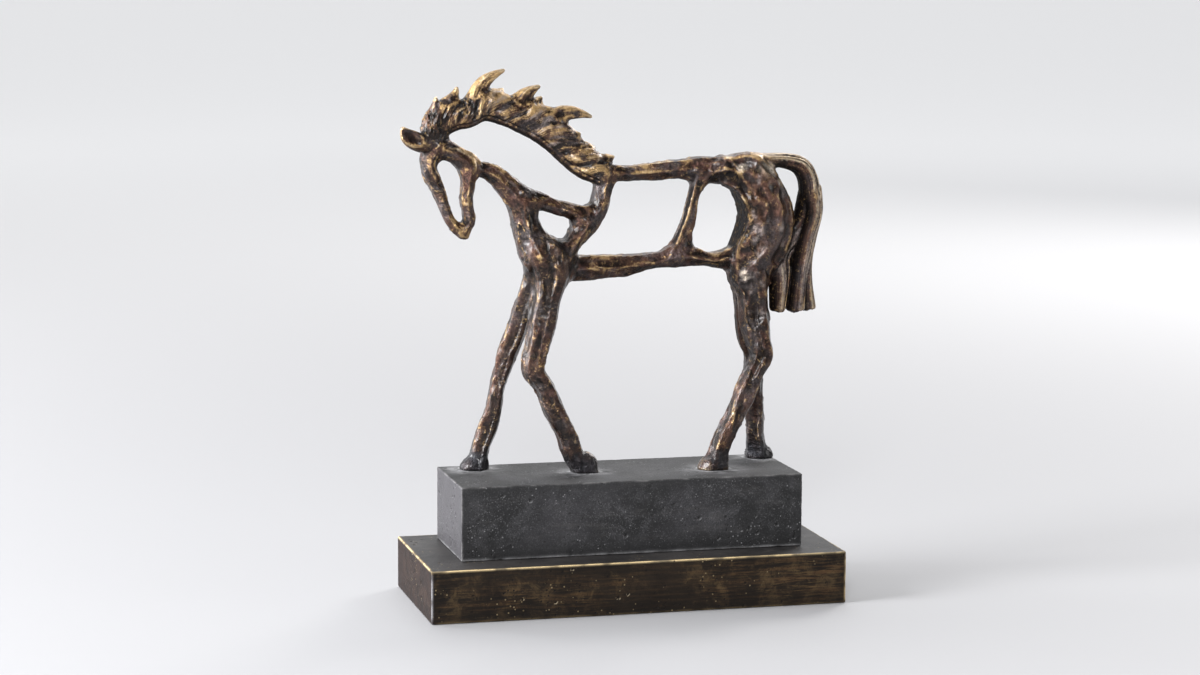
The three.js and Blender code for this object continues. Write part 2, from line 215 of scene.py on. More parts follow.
def carve_strut(name, st):
    Q = resample(st)
    C, A, Dp = Q[:, :3], Q[:, 3], Q[:, 4]
    reach = float(max(A.max(), Dp.max()))
    lo = np.maximum(np.floor((C.min(0) - reach - FAR - LO) / VOX).astype(int), 0)
    hi = np.minimum(np.ceil((C.max(0) + reach + FAR - LO) / VOX).astype(int) + 1, DIM)
    best = np.full(hi - lo, FAR, F32)
    p = st['p']
    facets = st.get('facets')
    turn = math.radians(st.get('turn', 0))
    lengths = np.linalg.norm(np.diff(C, axis=0), axis=1)
    total = lengths.sum()
    arc0 = 0.0
    T = np.gradient(C, axis=0)
    T /= np.linalg.norm(T, axis=1)[:, None]
    frames = []
    for i in range(len(C) - 1):
        c0, c1 = C[i], C[i + 1]
        e = c1 - c0
        ee = max(float(e @ e), 1e-6)
        t = T[i] + T[i + 1]
        t = t / np.linalg.norm(t)
        N = np.cross(t, (0, 1, 0))
        N /= np.linalg.norm(N)
        Dv = np.cross(N, t)
        frames.append((c0, e, ee, N, Dv, A[i], A[i + 1], Dp[i], Dp[i + 1], arc0, lengths[i]))
        r = max(A[i], A[i + 1], Dp[i], Dp[i + 1]) * (1.3 if facets else 1.05) + st['k'] + 1.5
        a = np.maximum(np.floor((np.minimum(c0, c1) - r - LO) / VOX).astype(int), lo)
        b = np.minimum(np.ceil((np.maximum(c0, c1) + r - LO) / VOX).astype(int) + 1, hi)
        if (b <= a).any():
            arc0 += lengths[i]
            continue
        X = AX[0][a[0]:b[0]][:, None, None] - F32(c0[0])
        Y = AX[1][a[1]:b[1]][None, :, None] - F32(c0[1])
        Z = AX[2][a[2]:b[2]][None, None, :] - F32(c0[2])
        h = np.clip((X * F32(e[0]) + Y * F32(e[1]) + Z * F32(e[2])) / F32(ee), 0, 1)
        vx, vy, vz = X - h * F32(e[0]), Y - h * F32(e[1]), Z - h * F32(e[2])
        nn = vx * F32(N[0]) + vy * F32(N[1]) + vz * F32(N[2])
        mm = vx * F32(Dv[0]) + vy * F32(Dv[1]) + vz * F32(Dv[2])
        ss = vx * F32(t[0]) + vy * F32(t[1]) + vz * F32(t[2])
        ra = F32(A[i]) + h * F32(A[i + 1] - A[i])
        rd = F32(Dp[i]) + h * F32(Dp[i + 1] - Dp[i])
        rr = np.sqrt(nn * nn + ss * ss)
        u = np.where(nn < 0, -rr, rr) / ra
        v = mm / rd
        g = (np.abs(u) ** p + np.abs(v) ** p) ** (1 / p)
        if facets:
            twist = turn * (((arc0 + .5 * lengths[i]) / total) - .5)
            gf = None
            for ang, out in facets:
                th = math.radians(ang) + twist
                q = (u * F32(math.cos(th)) + v * F32(math.sin(th))) / F32(out)
                gf = q if gf is None else np.maximum(gf, q)
            g = np.maximum(.22 * g + .78 * gf, .2 * g)
        size = np.sqrt(rr * rr + mm * mm)
        g = np.maximum(g, 1e-4)
        radius = np.where(size > 1e-3, size / g, ra)
        dist = (radius * (g - 1)).astype(F32)
        s = (slice(a[0] - lo[0], b[0] - lo[0]), slice(a[1] - lo[1], b[1] - lo[1]), slice(a[2] - lo[2], b[2] - lo[2]))
        best[s] = np.minimum(best[s], dist)
        arc0 += lengths[i]
    BARS[name] = (frames, total)
    g = (slice(lo[0], hi[0]), slice(lo[1], hi[1]), slice(lo[2], hi[2]))
    F = field[g]
    bar[g][best < F] = NAMES.index(name)
    k = F32(st['k'])
    h = np.maximum(k - np.abs(F - best), 0) / k
    field[g] = np.minimum(F, best) - h * h * k * F32(.25)


def place_on_bars(V, ids):
    """for each point, how far along its bar it lies, and where across it"""
    arc, total, u, v, n_mm, m_mm = (np.zeros(len(V)) for _ in range(6))
    for n, name in enumerate(NAMES):
        w = np.where(ids == n)[0]
        if not len(w):
            continue
        frames, length = BARS[name]
        near = np.full(len(w), 1e9)
        for c0, e, ee, N, Dv, a0, a1, d0, d1, s0, sl in frames:
            r = V[w] - c0
            h = np.clip(r @ e / ee, 0, 1)
            q = r - h[:, None] * e
            dd = (q * q).sum(1)
            win = dd < near
            near[win] = dd[win]
            k = w[win]
            arc[k] = s0 + h[win] * sl
            n_mm[k] = q[win] @ N
            m_mm[k] = q[win] @ Dv
            u[k] = n_mm[k] / (a0 + h[win] * (a1 - a0))
            v[k] = m_mm[k] / (d0 + h[win] * (d1 - d0))
        total[w] = length
    return arc, total, u, v, n_mm, m_mm


def block_of(lo, hi):
    """the part of the grid between two corners, and its coordinates"""
    a = np.maximum(np.floor((np.array(lo) - LO) / VOX).astype(int), 0)
    b = np.minimum(np.ceil((np.array(hi) - LO) / VOX).astype(int) + 1, DIM)
    g = tuple(slice(a[i], b[i]) for i in range(3))
    return g, AX[0][g[0]][:, None, None], AX[1][g[1]][None, :, None], AX[2][g[2]][None, None, :]


def blob(centre, radii, angle, k, carve=False):
    """adds, or cuts away, an egg turned by angle in the long plane"""
    c = np.array(centre, float)
    r = max(radii) + 6
    g, X, Y, Z = block_of(c - r, c + r)
    ca, sa = math.cos(math.radians(angle)), math.sin(math.radians(angle))
    dx, dz = X - c[0], Z - c[2]
    u = (dx * ca + dz * sa) / radii[0]
    w = (-dx * sa + dz * ca) / radii[2]
    v = (Y - c[1]) / radii[1]
    q = np.sqrt(u * u + v * v + w * w)
    size = np.sqrt(dx * dx + dz * dz + (Y - c[1]) ** 2)
    radius = np.where(q > 1e-3, size / np.maximum(q, 1e-4), min(radii))
    dist = (radius * (q - 1)).astype(F32)
    F = field[g]
    if carve:
        dist = -dist
        h = np.maximum(k - np.abs(F - dist), 0) / k
        field[g] = np.maximum(F, dist) + h * h * k * .25
    else:
        h = np.maximum(k - np.abs(F - dist), 0) / k
        field[g] = np.minimum(F, dist) - h * h * k * .25


def surface(F):
    """a closed quad mesh of the zero level of F, one vertex to a crossed cell"""
    inside = F < 0
    nx, ny, nz = F.shape
    corners = [inside[i:nx - 1 + i, j:ny - 1 + j, k:nz - 1 + k] for i in (0, 1) for j in (0, 1) for k in (0, 1)]
    any_in = corners[0].copy()
    all_in = corners[0].copy()
    for c in corners[1:]:
        any_in |= c
        all_in &= c
    act = any_in & ~all_in
    idx = np.argwhere(act)
    number = np.full(act.shape, -1, np.int32)
    number[act] = np.arange(len(idx), dtype=np.int32)
    pos = np.zeros((len(idx), 3))
    count = np.zeros(len(idx))
    val = {}
    for i in (0, 1):
        for j in (0, 1):
            for k in (0, 1):
                val[i, j, k] = F[idx[:, 0] + i, idx[:, 1] + j, idx[:, 2] + k].astype(np.float64)
    for axis in range(3):
        for a in (0, 1):
            for b in (0, 1):
                p0, p1 = [a, b], [a, b]
                p0.insert(axis, 0)
                p1.insert(axis, 1)
                f0, f1 = val[tuple(p0)], val[tuple(p1)]
                m = (f0 < 0) != (f1 < 0)
                t = f0[m] / (f0[m] - f1[m])
                pt = np.empty((m.sum(), 3))
                for q in range(3):
                    pt[:, q] = t if q == axis else p0[q]
                pos[m] += pt
                count[m] += 1
    verts = LO + VOX * (idx + pos / count[:, None])
    faces = []
    for axis in range(3):
        sl0 = [slice(1, -1)] * 3
        sl1 = [slice(1, -1)] * 3
        sl0[axis] = slice(0, -1)
        sl1[axis] = slice(1, None)
        s0, s1 = inside[tuple(sl0)], inside[tuple(sl1)]
        e = np.argwhere(s0 != s1)
        flip = s0[e[:, 0], e[:, 1], e[:, 2]]
        e = e + [0 if q == axis else 1 for q in range(3)]
        b, c = [(1, 2), (2, 0), (0, 1)][axis]
        def at(db, dc):
            o = e.copy()
            o[:, b] -= db
            o[:, c] -= dc
            return number[o[:, 0], o[:, 1], o[:, 2]]
        quad = np.stack([at(1, 1), at(0, 1), at(0, 0), at(1, 0)], 1)
        quad[~flip] = quad[~flip][:, ::-1]
        faces.append(quad)
    return verts, np.vstack(faces), idx


# ---------------------------------------------------------------- mesh plumbing
def new_mesh(name, verts_mm, faces):
    """faces: an array of triangles or quads"""
    me = bpy.data.meshes.new(name)
    n, k = faces.shape
    me.vertices.add(len(verts_mm))
    me.vertices.foreach_set('co', (np.asarray(verts_mm, float) / 1000).astype(F32).ravel())
    me.loops.add(n * k)
    me.loops.foreach_set('vertex_index', faces.astype(np.int32).ravel())
    me.polygons.add(n)
    me.polygons.foreach_set('loop_start', np.arange(0, n * k, k, dtype=np.int32))
    me.polygons.foreach_set('loop_total', np.full(n, k, np.int32))
    me.update(calc_edges=True)
    me.validate()
    return me


def link(name, me):
    ob = bpy.data.objects.new(name, me)
    bpy.context.scene.collection.objects.link(ob)
    return ob


def coords(me):
    a = np.empty(len(me.vertices) * 3, F32)
    me.vertices.foreach_get('co', a)
    return a.reshape(-1, 3).astype(float) * 1000


def edges_of(me):
    a = np.empty(len(me.edges) * 2, np.int32)
    me.edges.foreach_get('vertices', a)
    return a.reshape(-1, 2)


def averaged(V, E, times, part=.5):
    """each value moved towards the mean of its neighbours, several times"""
    V = np.array(V, float)
    flat = V.ndim == 1
    if flat:
        V = V[:, None]
    n = len(V)
    i, j = E[:, 0], E[:, 1]
    deg = np.bincount(i, minlength=n) + np.bincount(j, minlength=n)
    deg = np.maximum(deg, 1)[:, None]
    for _ in range(times):
        s = np.stack([np.bincount(i, V[j, c], n) + np.bincount(j, V[i, c], n) for c in range(V.shape[1])], 1)
        V = V + part * (s / deg - V)
    return V[:, 0] if flat else V


def normals_of(V, faces):
    if faces.shape[1] == 4:
        N = np.cross(V[faces[:, 2]] - V[faces[:, 0]], V[faces[:, 3]] - V[faces[:, 1]])
    else:
        N = np.cross(V[faces[:, 1]] - V[faces[:, 0]], V[faces[:, 2]] - V[faces[:, 0]])
    out = np.stack([sum(np.bincount(faces[:, k], N[:, c], len(V)) for k in range(faces.shape[1])) for c in range(3)], 1)
    return out / np.maximum(np.linalg.norm(out, axis=1), 1e-9)[:, None]


def set_attr(me, name, values):
    at = me.attributes.new(name, 'FLOAT', 'POINT')
    at.data.foreach_set('value', np.asarray(values, F32))


def smooth_shading(me):
    me.polygons.foreach_set('use_smooth', np.ones(len(me.polygons), bool))


# --------------------------------------------------------------- node materials
class Nodes:
    """a short way to write a material's node tree"""

    def __init__(self, name):
        self.mat = bpy.data.materials.new(name)
        self.mat.use_nodes = True
        self.t = self.mat.node_tree
        self.t.nodes.clear()
        self.out = self.t.nodes.new('ShaderNodeOutputMaterial')
        self.bsdf = self.t.nodes.new('ShaderNodeBsdfPrincipled')
        self.t.links.new(self.bsdf.outputs[0], self.out.inputs[0])
        self.co = self.t.nodes.new('ShaderNodeTexCoord').outputs['Object']

    def put(self, socket, v):
        if isinstance(v, bpy.types.NodeSocket):
            self.t.links.new(v, socket)
        else:
            socket.default_value = v

    def attr(self, name):
        n = self.t.nodes.new('ShaderNodeAttribute')
        n.attribute_name = name
        return n.outputs['Fac']

    def noise(self, scale, detail=3.0, rough=.5, stretch=None, shift=0.0, distort=0.0, kind='FBM'):
        n = self.t.nodes.new('ShaderNodeTexNoise')
        n.noise_type = kind
        if kind == 'RIDGED_MULTIFRACTAL':
            n.inputs['Offset'].default_value = 1.0
            n.inputs['Gain'].default_value = 1.6
        n.inputs['Scale'].default_value = scale
        n.inputs['Detail'].default_value = detail
        n.inputs['Roughness'].default_value = rough
        n.inputs['Distortion'].default_value = distort
        m = self.t.nodes.new('ShaderNodeMapping')
        m.inputs['Scale'].default_value = stretch or (1, 1, 1)
        m.inputs['Location'].default_value = (shift, shift * .7, shift * 1.3)
        self.t.links.new(self.co, m.inputs['Vector'])
        self.t.links.new(m.outputs[0], n.inputs['Vector'])
        return n.outputs['Fac']

    def voronoi(self, scale, feature='F1', shift=0.0, random=1.0):
        n = self.t.nodes.new('ShaderNodeTexVoronoi')
        n.feature = feature
        n.inputs['Scale'].default_value = scale
        n.inputs['Randomness'].default_value = random
        m = self.t.nodes.new('ShaderNodeMapping')
        m.inputs['Location'].default_value = (shift, shift * .7, shift * 1.3)
        self.t.links.new(self.co, m.inputs['Vector'])
        self.t.links.new(m.outputs[0], n.inputs['Vector'])
        return n.outputs['Distance']

    def math(self, op, a, b=0.0, c=0.0, clamp=False):
        n = self.t.nodes.new('ShaderNodeMath')
        n.operation = op
        n.use_clamp = clamp
        self.put(n.inputs[0], a)
        self.put(n.inputs[1], b)
        self.put(n.inputs[2], c)
        return n.outputs[0]

    def ramp(self, v, a, b, lo=0.0, hi=1.0):
        n = self.t.nodes.new('ShaderNodeMapRange')
        n.interpolation_type = 'SMOOTHSTEP'
        self.put(n.inputs['Value'], v)
        n.inputs['From Min'].default_value = a
        n.inputs['From Max'].default_value = b
        n.inputs['To Min'].default_value = lo
        n.inputs['To Max'].default_value = hi
        return n.outputs['Result']

    def mix(self, f, a, b):
        n = self.t.nodes.new('ShaderNodeMix')
        n.data_type = 'RGBA'
        self.put(n.inputs['Factor'], f)
        self.put(n.inputs['A'] if False else n.inputs[6], a if isinstance(a, bpy.types.NodeSocket) else (*a, 1))
        self.put(n.inputs[7], b if isinstance(b, bpy.types.NodeSocket) else (*b, 1))
        return n.outputs[2]

    def bump(self, height, distance, strength=1.0, normal=None):
        n = self.t.nodes.new('ShaderNodeBump')
        n.inputs['Distance'].default_value = distance
        n.inputs['Strength'].default_value = strength
        self.t.links.new(height, n.inputs['Height'])
        if normal is not None:
            self.t.links.new(normal, n.inputs['Normal'])
        return n.outputs[0]

    def set(self, **kw):
        for k, v in kw.items():
            self.put(self.bsdf.inputs[k.replace('_', ' ')], v)


def bronze_material():
    m = Nodes('antique_bronze')
    gold, pale, brown, red, cool, deep, hoof, matte_and_shade = (m.attr(a) for a in ('gold', 'pale', 'brown', 'red', 'cool', 'deep', 'hoof', 'matte_and_shade'))
    ash_and_sheen, dark_tone_and_shade = m.attr('ash_and_sheen'), m.attr('dark_tone_and_shade')
    line, lined = m.attr('line'), m.attr('lined')
    mid = m.noise(150, 5, .62, shift=7.7, distort=.5)
    small = m.noise(480, 4, .65, shift=1.3, distort=.3)
    tiny = m.noise(1300, 2, .6, shift=5.3)
    crease = m.noise(105, 6, .6, shift=3.1, distort=.4, kind='RIDGED_MULTIFRACTAL')
    vein = m.math('MULTIPLY', m.ramp(m.noise(170, 3, .6, shift=8.3, distort=.8, kind='RIDGED_MULTIFRACTAL'), 1.45, 1.85), m.ramp(mid, .40, .56))
    hair = m.math('SINE', m.math('MULTIPLY', m.math('ADD', line, m.math('MULTIPLY', mid, 1.5)), 2.3))
    hair_low = m.math('MULTIPLY', lined, m.ramp(hair, -.95, -.1, 1, 0))
    hair_top = m.math('MULTIPLY', lined, m.ramp(hair, .3, 1))
    grit = m.math('ADD', m.math('MULTIPLY', m.math('SUBTRACT', mid, .5), 1.0), m.math('MULTIPLY', m.math('SUBTRACT', small, .5), 1.1))
    # black-brown casting, redder and mauve where it has been handled
    f = m.math('ADD', brown, grit, clamp=True)
    f = m.ramp(f, .18, .9)
    base = m.mix(f, (.0090, .0050, .0036), (.082, .041, .026))
    base = m.mix(m.math('MULTIPLY', red, m.ramp(mid, .3, .65, .2, .85)), base, (.118, .056, .042))
    base = m.mix(m.math('MULTIPLY', cool, m.ramp(small, .35, .65, .2, .65)), base, (.095, .078, .080))
    # painted shade and a darker tone on the legs, the far legs most, and patches on the head and neck
    base = m.mix(m.math('MULTIPLY', dark_tone_and_shade, .85), base, (.012, .0075, .0062))
    # rubbed gold
    g = m.math('ADD', gold, m.math('MULTIPLY', m.math('SUBTRACT', hair_top, hair_low), .35))
    g = m.math('ADD', g, m.math('MULTIPLY', m.ramp(crease, 1.4, 2.0), .22))
    g = m.math('ADD', g, m.math('MULTIPLY', vein, m.math('MULTIPLY_ADD', gold, .55, .32)))
    g = m.ramp(m.math('ADD', g, m.math('MULTIPLY', grit, .75)), .14, 1.02)
    # painted shade: near black on inner walls, undersides and sides turned from the light, which are also matte
    base = m.mix(m.math('MULTIPLY', matte_and_shade, .92), base, (.0075, .0066, .0072))
    g = m.math('MULTIPLY', g, m.math('SUBTRACT', 1.0, m.math('MULTIPLY', hoof, .85)))
    base = m.mix(m.math('MULTIPLY', g, .9), base, (.42, .275, .12))
    # lilac-grey patches, less metallic, partly a painted sheen on the rump and legs
    ashen_and_sheen = m.math('MULTIPLY', ash_and_sheen, m.ramp(grit, -.25, .25, .15, .85))
    base = m.mix(ashen_and_sheen, base, (.27, .225, .212))
    # pale whitish gold, partly painted highlights
    base = m.mix(m.math('MULTIPLY', pale, m.ramp(small, .3, .6, .3, .9)), base, (.70, .60, .46))
    base = m.mix(m.math('MULTIPLY', hoof, .85), base, (.027, .028, .033))
    # dark patina in hollows, plus painted shade on the far legs
    base = m.mix(m.math('MULTIPLY', deep, .9), base, (.007, .005, .0045))
    base = m.mix(m.math('MULTIPLY', hair_low, .65), base, (.012, .009, .008))
    rough = m.math('ADD', m.math('MULTIPLY_ADD', matte_and_shade, .42, .18), m.math('MULTIPLY', mid, .2))
    rough = m.math('ADD', rough, m.math('MULTIPLY', small, .10))
    h = m.math('ADD', m.math('MULTIPLY', tiny, .3), m.math('ADD', m.math('MULTIPLY', small, .9), m.math('MULTIPLY', mid, .8)))
    h = m.math('ADD', h, m.math('ADD', m.math('MULTIPLY', crease, .5), m.math('MULTIPLY', m.math('MULTIPLY', hair, lined), .45)))
    m.set(Base_Color=base, Metallic=m.math('MULTIPLY_ADD', ashen_and_sheen, -.5, .92), Roughness=rough, Normal=m.bump(h, .0012, .7))
    m.put(m.bsdf.inputs['Coat Weight'], m.math('MULTIPLY_ADD', m.math('MAXIMUM', matte_and_shade, m.math('MULTIPLY', deep, .7)), -.40, .42, clamp=True))
    m.bsdf.inputs['Coat Roughness'].default_value = .22
    m.bsdf.inputs['Coat IOR'].default_value = 1.55
    return m.mat


def block_material():
    m = Nodes('charcoal_cast')
    edge, pit_shade_glint, foot, shade, end, top = (m.attr(a) for a in ('edge', 'pit_shade_glint', 'foot', 'shade', 'end', 'top'))
    cloud = m.noise(16, 4, .6, shift=2.0)
    cloud2 = m.noise(60, 5, .65, shift=9.0, distort=.5)
    grain = m.noise(700, 3, .6)
    brush = m.noise(30, 4, .6, stretch=(1, 1, 5), shift=4.0)
    dimple = m.noise(900, 2, .5, shift=6.0)
    base = m.mix(m.ramp(cloud, .38, .66), (.005, .005, .0055), (.027, .026, .029))
    base = m.mix(m.ramp(cloud2, .42, .70, 0, .65), base, (.050, .049, .053))
    base = m.mix(m.ramp(brush, .50, .76, 0, .40), base, (.070, .066, .065))
    base = m.mix(m.math('MULTIPLY', m.ramp(dimple, .54, .74), m.ramp(cloud2, .3, .6, .25, .7)), base, (.105, .103, .108))
    base = m.mix(m.ramp(dimple, .42, .28, 0, .7), base, (.006, .006, .0065))
    base = m.mix(m.math('MULTIPLY', shade, .75), base, (.009, .009, .0095))
    # the ends are painted paler than the long sides, a painted sheen where light falls on the end faces
    base = m.mix(m.math('MULTIPLY', end, m.ramp(cloud2, .3, .6, .6, .9)), base, (.062, .059, .065))
    # tiny pin holes: painted shade inside, and a painted glint on one side of the lip
    v = m.voronoi(230)
    where = m.ramp(m.noise(30, 3, .6, shift=31.0), .50, .58)
    hole = m.math('MULTIPLY', m.ramp(v, .12, .20, 1, 0), where)
    side = m.voronoi(230, shift=.0016)
    lip = m.math('MULTIPLY', m.math('MULTIPLY', m.ramp(side, .10, .18, 1, 0), m.ramp(v, .16, .22)), where)
    v2 = m.voronoi(420, shift=5.0)
    where2 = m.ramp(m.noise(21, 4, .6, shift=17.0), .50, .60)
    hole2 = m.math('MULTIPLY', m.ramp(v2, .17, .26, 1, 0), where2)
    side2 = m.voronoi(420, shift=5.0009)
    lip2 = m.math('MULTIPLY', m.math('MULTIPLY', m.ramp(side2, .16, .26, 1, 0), m.ramp(v2, .22, .30)), where2)
    base = m.mix(m.math('MULTIPLY', lip2, .4), base, (.16, .16, .165))
    base = m.mix(hole2, base, (.005, .005, .005))
    base = m.mix(m.math('MULTIPLY', lip, .75), base, (.22, .22, .225))
    base = m.mix(hole, base, (.005, .005, .005))
    base = m.mix(m.math('MULTIPLY', edge, m.ramp(cloud2, .35, .65, .05, .75)), base, (.17, .165, .165))
    # painted shade in the modelled pits and a painted glint on their lips
    base = m.mix(m.ramp(pit_shade_glint, -.1, -.7, 0, .95), base, (.006, .006, .006))
    base = m.mix(m.ramp(pit_shade_glint, .1, .5, 0, .6), base, (.22, .22, .225))
    base = m.mix(m.math('MULTIPLY', foot, m.ramp(cloud2, .3, .62, .35, 1.0)), base, (.40, .40, .41))
    rough = m.math('ADD', m.math('MULTIPLY_ADD', top, .16, .38), m.math('MULTIPLY', cloud2, .25))
    h = m.math('ADD', m.math('ADD', m.math('MULTIPLY', grain, .4), m.math('MULTIPLY', dimple, .6)), m.math('MULTIPLY', hole, -3.0))
    h = m.math('ADD', h, m.math('MULTIPLY', cloud2, .8))
    m.set(Base_Color=base, Metallic=0.0, Roughness=rough, Normal=m.bump(h, .0005, .6))
    m.bsdf.inputs['Specular IOR Level'].default_value = .42
    return m.mat


def slab_material():
    m = Nodes('bronzed_cast')
    edge, pit_shade_glint, top, end, shade, silver = (m.attr(a) for a in ('edge', 'pit_shade_glint', 'top', 'end', 'shade', 'silver'))
    cloud = m.noise(14, 4, .6, shift=5.0)
    mott = m.noise(70, 5, .65, shift=2.0, distort=.6)
    brush = m.noise(26, 5, .65, stretch=(1, 1, 16), shift=7.0)
    brush2 = m.noise(60, 4, .65, stretch=(1, 1, 14), shift=1.0)
    grain = m.noise(600, 3, .6)
    patchy = m.noise(9, 3, .55, shift=12.0)
    worn = m.ramp(m.math('ADD', patchy, m.math('MULTIPLY', mott, .45)), .62, .84)
    base = m.mix(m.ramp(cloud, .35, .7), (.010, .0075, .006), (.030, .021, .014))
    base = m.mix(m.math('MULTIPLY', m.ramp(brush, .42, .72), m.math('MULTIPLY_ADD', worn, .75, .2)), base, (.128, .070, .032))
    base = m.mix(m.math('MULTIPLY', m.ramp(brush2, .50, .78), m.math('MULTIPLY_ADD', worn, .7, .1)), base, (.19, .12, .052))
    base = m.mix(m.math('MULTIPLY', worn, m.ramp(mott, .45, .7, 0, .55)), base, (.16, .105, .05))
    base = m.mix(m.ramp(grain, .44, .3, 0, .6), base, (.007, .0055, .0045))
    base = m.mix(m.math('MULTIPLY', shade, .7), base, (.010, .008, .0065))
    # the narrow ends are a dusty mauve brown, the ledge on top is almost black
    dusty = m.mix(m.ramp(mott, .35, .68), (.015, .0085, .007), (.033, .020, .0175))
    dusty = m.mix(m.ramp(grain, .6, .78, 0, .35), dusty, (.13, .11, .11))
    base = m.mix(m.math('MULTIPLY', end, .85), base, dusty)
    ledge = m.mix(m.ramp(cloud, .3, .7), (.014, .013, .013), (.040, .037, .036))
    ledge = m.mix(m.ramp(mott, .55, .8, 0, .45), ledge, (.10, .088, .08))
    base = m.mix(top, base, ledge)
    # pin holes: painted shade inside, and a painted glint on one side of the lip
    v = m.voronoi(200, shift=3.0)
    where = m.ramp(m.noise(24, 3, .6, shift=41.0), .50, .59)
    hole = m.math('MULTIPLY', m.ramp(v, .12, .20, 1, 0), where)
    side = m.voronoi(200, shift=3.0016)
    lip = m.math('MULTIPLY', m.math('MULTIPLY', m.ramp(side, .10, .18, 1, 0), m.ramp(v, .16, .22)), where)
    base = m.mix(m.math('MULTIPLY', lip, .7), base, (.30, .23, .13))
    base = m.mix(hole, base, (.008, .006, .005))
    base = m.mix(m.math('MULTIPLY', edge, m.ramp(mott, .25, .5, .75, 1.0)), base, m.mix(silver, (.62, .47, .25), (.30, .295, .31)))
    # painted shade in the modelled pits and a painted glint on their lips
    base = m.mix(m.ramp(pit_shade_glint, -.1, -.7, 0, .95), base, (.008, .006, .005))
    base = m.mix(m.ramp(pit_shade_glint, .1, .5, 0, .7), base, (.48, .40, .27))
    metal = m.math('MULTIPLY', m.math('SUBTRACT', 1.0, m.math('MAXIMUM', top, m.math('MULTIPLY', end, .25))), .55)
    rough = m.math('ADD', m.math('MULTIPLY_ADD', end, .2, .36), m.math('MULTIPLY', mott, .28))
    h = m.math('ADD', m.math('MULTIPLY', grain, .3), m.math('MULTIPLY', hole, -3.0))
    h = m.math('ADD', h, m.math('ADD', m.math('MULTIPLY', mott, .8), m.math('MULTIPLY', brush2, .6)))
    m.bsdf.inputs['Specular IOR Level'].default_value = .3
    m.set(Base_Color=base, Metallic=metal, Roughness=rough, Normal=m.bump(h, .0005, .5))
    return m.mat


# ---------------------------------------------------------------------- horse
def make_horse():
    for name, st in S.items():
        carve_strut(name, st)
    # hooves: rounded, toe forward, with a soft heel
    blob((-128.3, 43.0, 117.6), (11.6, 11.8, 8.6), 24, 3.0)
    blob((-119.4, 43.4, 117.0), (7.4, 10.4, 7.6), 0, 3.0)
    blob((83.6, -4.6, 117.6), (12.2, 11.6, 8.4), 20, 3.0)
    blob((92.6, -4.4, 117.0), (8.4, 10.4, 7.6), 0, 3.0)
    blob((149.6, 45.0, 117.2), (10.4, 11.4, 8.4), -24, 3.0)
    blob((141.0, 45.0, 117.0), (8.0, 10.0, 8.0), 0, 3.0)
    # the lifted forefoot: a knuckle above and a hollow sole turned to the rear
    blob((-31.0, 7.0, 126.4), (7.0, 8.2, 4.6), -12, 2.0)
    blob((-17.2, 6.4, 117.6), (3.6, 6.6, 7.4), 12, 1.4, carve=True)
    # the near and far ears are hollow leaves
    blob((-188.2, 4.8, 417.3), (13.0, 4.8, 7.7), -33, .8, carve=True)
    blob((-183.4, 38.0, 413.9), (12.2, 4.6, 7.2), -28, .8, carve=True)
    # the locks of the tail end bluntly
    g, X, Y, Z = block_of((145.4, -20, 246), (198, 60, 266))
    cut = (253.6 + .7 * np.sin(X * .55) + .5 * np.sin(X * 1.3 + Y * .4) + .04 * (X - 168)) - Z
    F = field[g]
    h = np.maximum(2.2 - np.abs(F - cut), 0) / 2.2
    field[g] = np.maximum(F, cut) + h * h * .55
    # flat soles
    Z = AX[2][None, None, :]
    np.maximum(field, F32(HOOF_PLANE) - Z, out=field)
    V, Q, idx = surface(field)
    return V, Q, idx


def where_is(V):
    """the bar, the zone and the place on the bar of each point, with patterns that follow the bars"""
    c = np.clip(np.round((V - LO) / VOX).astype(int), 0, DIM - 1)
    ids = bar[c[:, 0], c[:, 1], c[:, 2]]
    thigh = np.isin(ids, [NAMES.index('near_hind'), NAMES.index('far_hind')]) & (V[:, 2] > 290 + 3 * np.sin(V[:, 0] * .3))
    ids[thigh] = NAMES.index('rump')
    arc, total, u, v, n_mm, m_mm = place_on_bars(V, ids)
    zid = np.array([ZONES[S[n].get('zone', 'body')] for n in NAMES])[ids]
    th = np.arctan2(v, u)
    along = np.stack([arc + ids * 37.7, n_mm + ids * 11.3, m_mm], 1)
    return ids, zid, arc, total, u, v, th, along


def crest_lines(ids, arc, u):
    """the mane's strand coordinate: lines that rise from the rim and lean back"""
    h = np.clip((u + 1) / 2, 0, 1)
    return (arc - 24 * h ** 1.3), h


V, Q, _ = make_horse()
N = normals_of(V, Q)
E = np.unique(np.sort(np.vstack([Q[:, [0, 1]], Q[:, [1, 2]], Q[:, [2, 3]], Q[:, [3, 0]]]), 1), axis=0)
ids, zid, arc, total, u, v, th, along = where_is(V)
seam = np.zeros(len(V))
cross = ids[E[:, 0]] != ids[E[:, 1]]
seam[E[cross].ravel()] = 1
seam = np.clip(averaged(seam, E, 10) * 2.2, 0, 1)
body_s = averaged((zid == 0).astype(float), E, 8)
mane_s = averaged((zid == 1).astype(float), E, 8)
tail_s = averaged((zid == 2).astype(float), E, 8)
crest_id, rump_id = NAMES.index('crest'), NAMES.index('rump')
rumpness = averaged((ids == rump_id).astype(float), E, 30)
rumpness = np.maximum(rumpness, averaged(((ids == NAMES.index('near_hind')) & (V[:, 2] > 245)).astype(float), E, 20) * .8)
inner_wall = step(.45, .85, -N[:, 0]) * rumpness

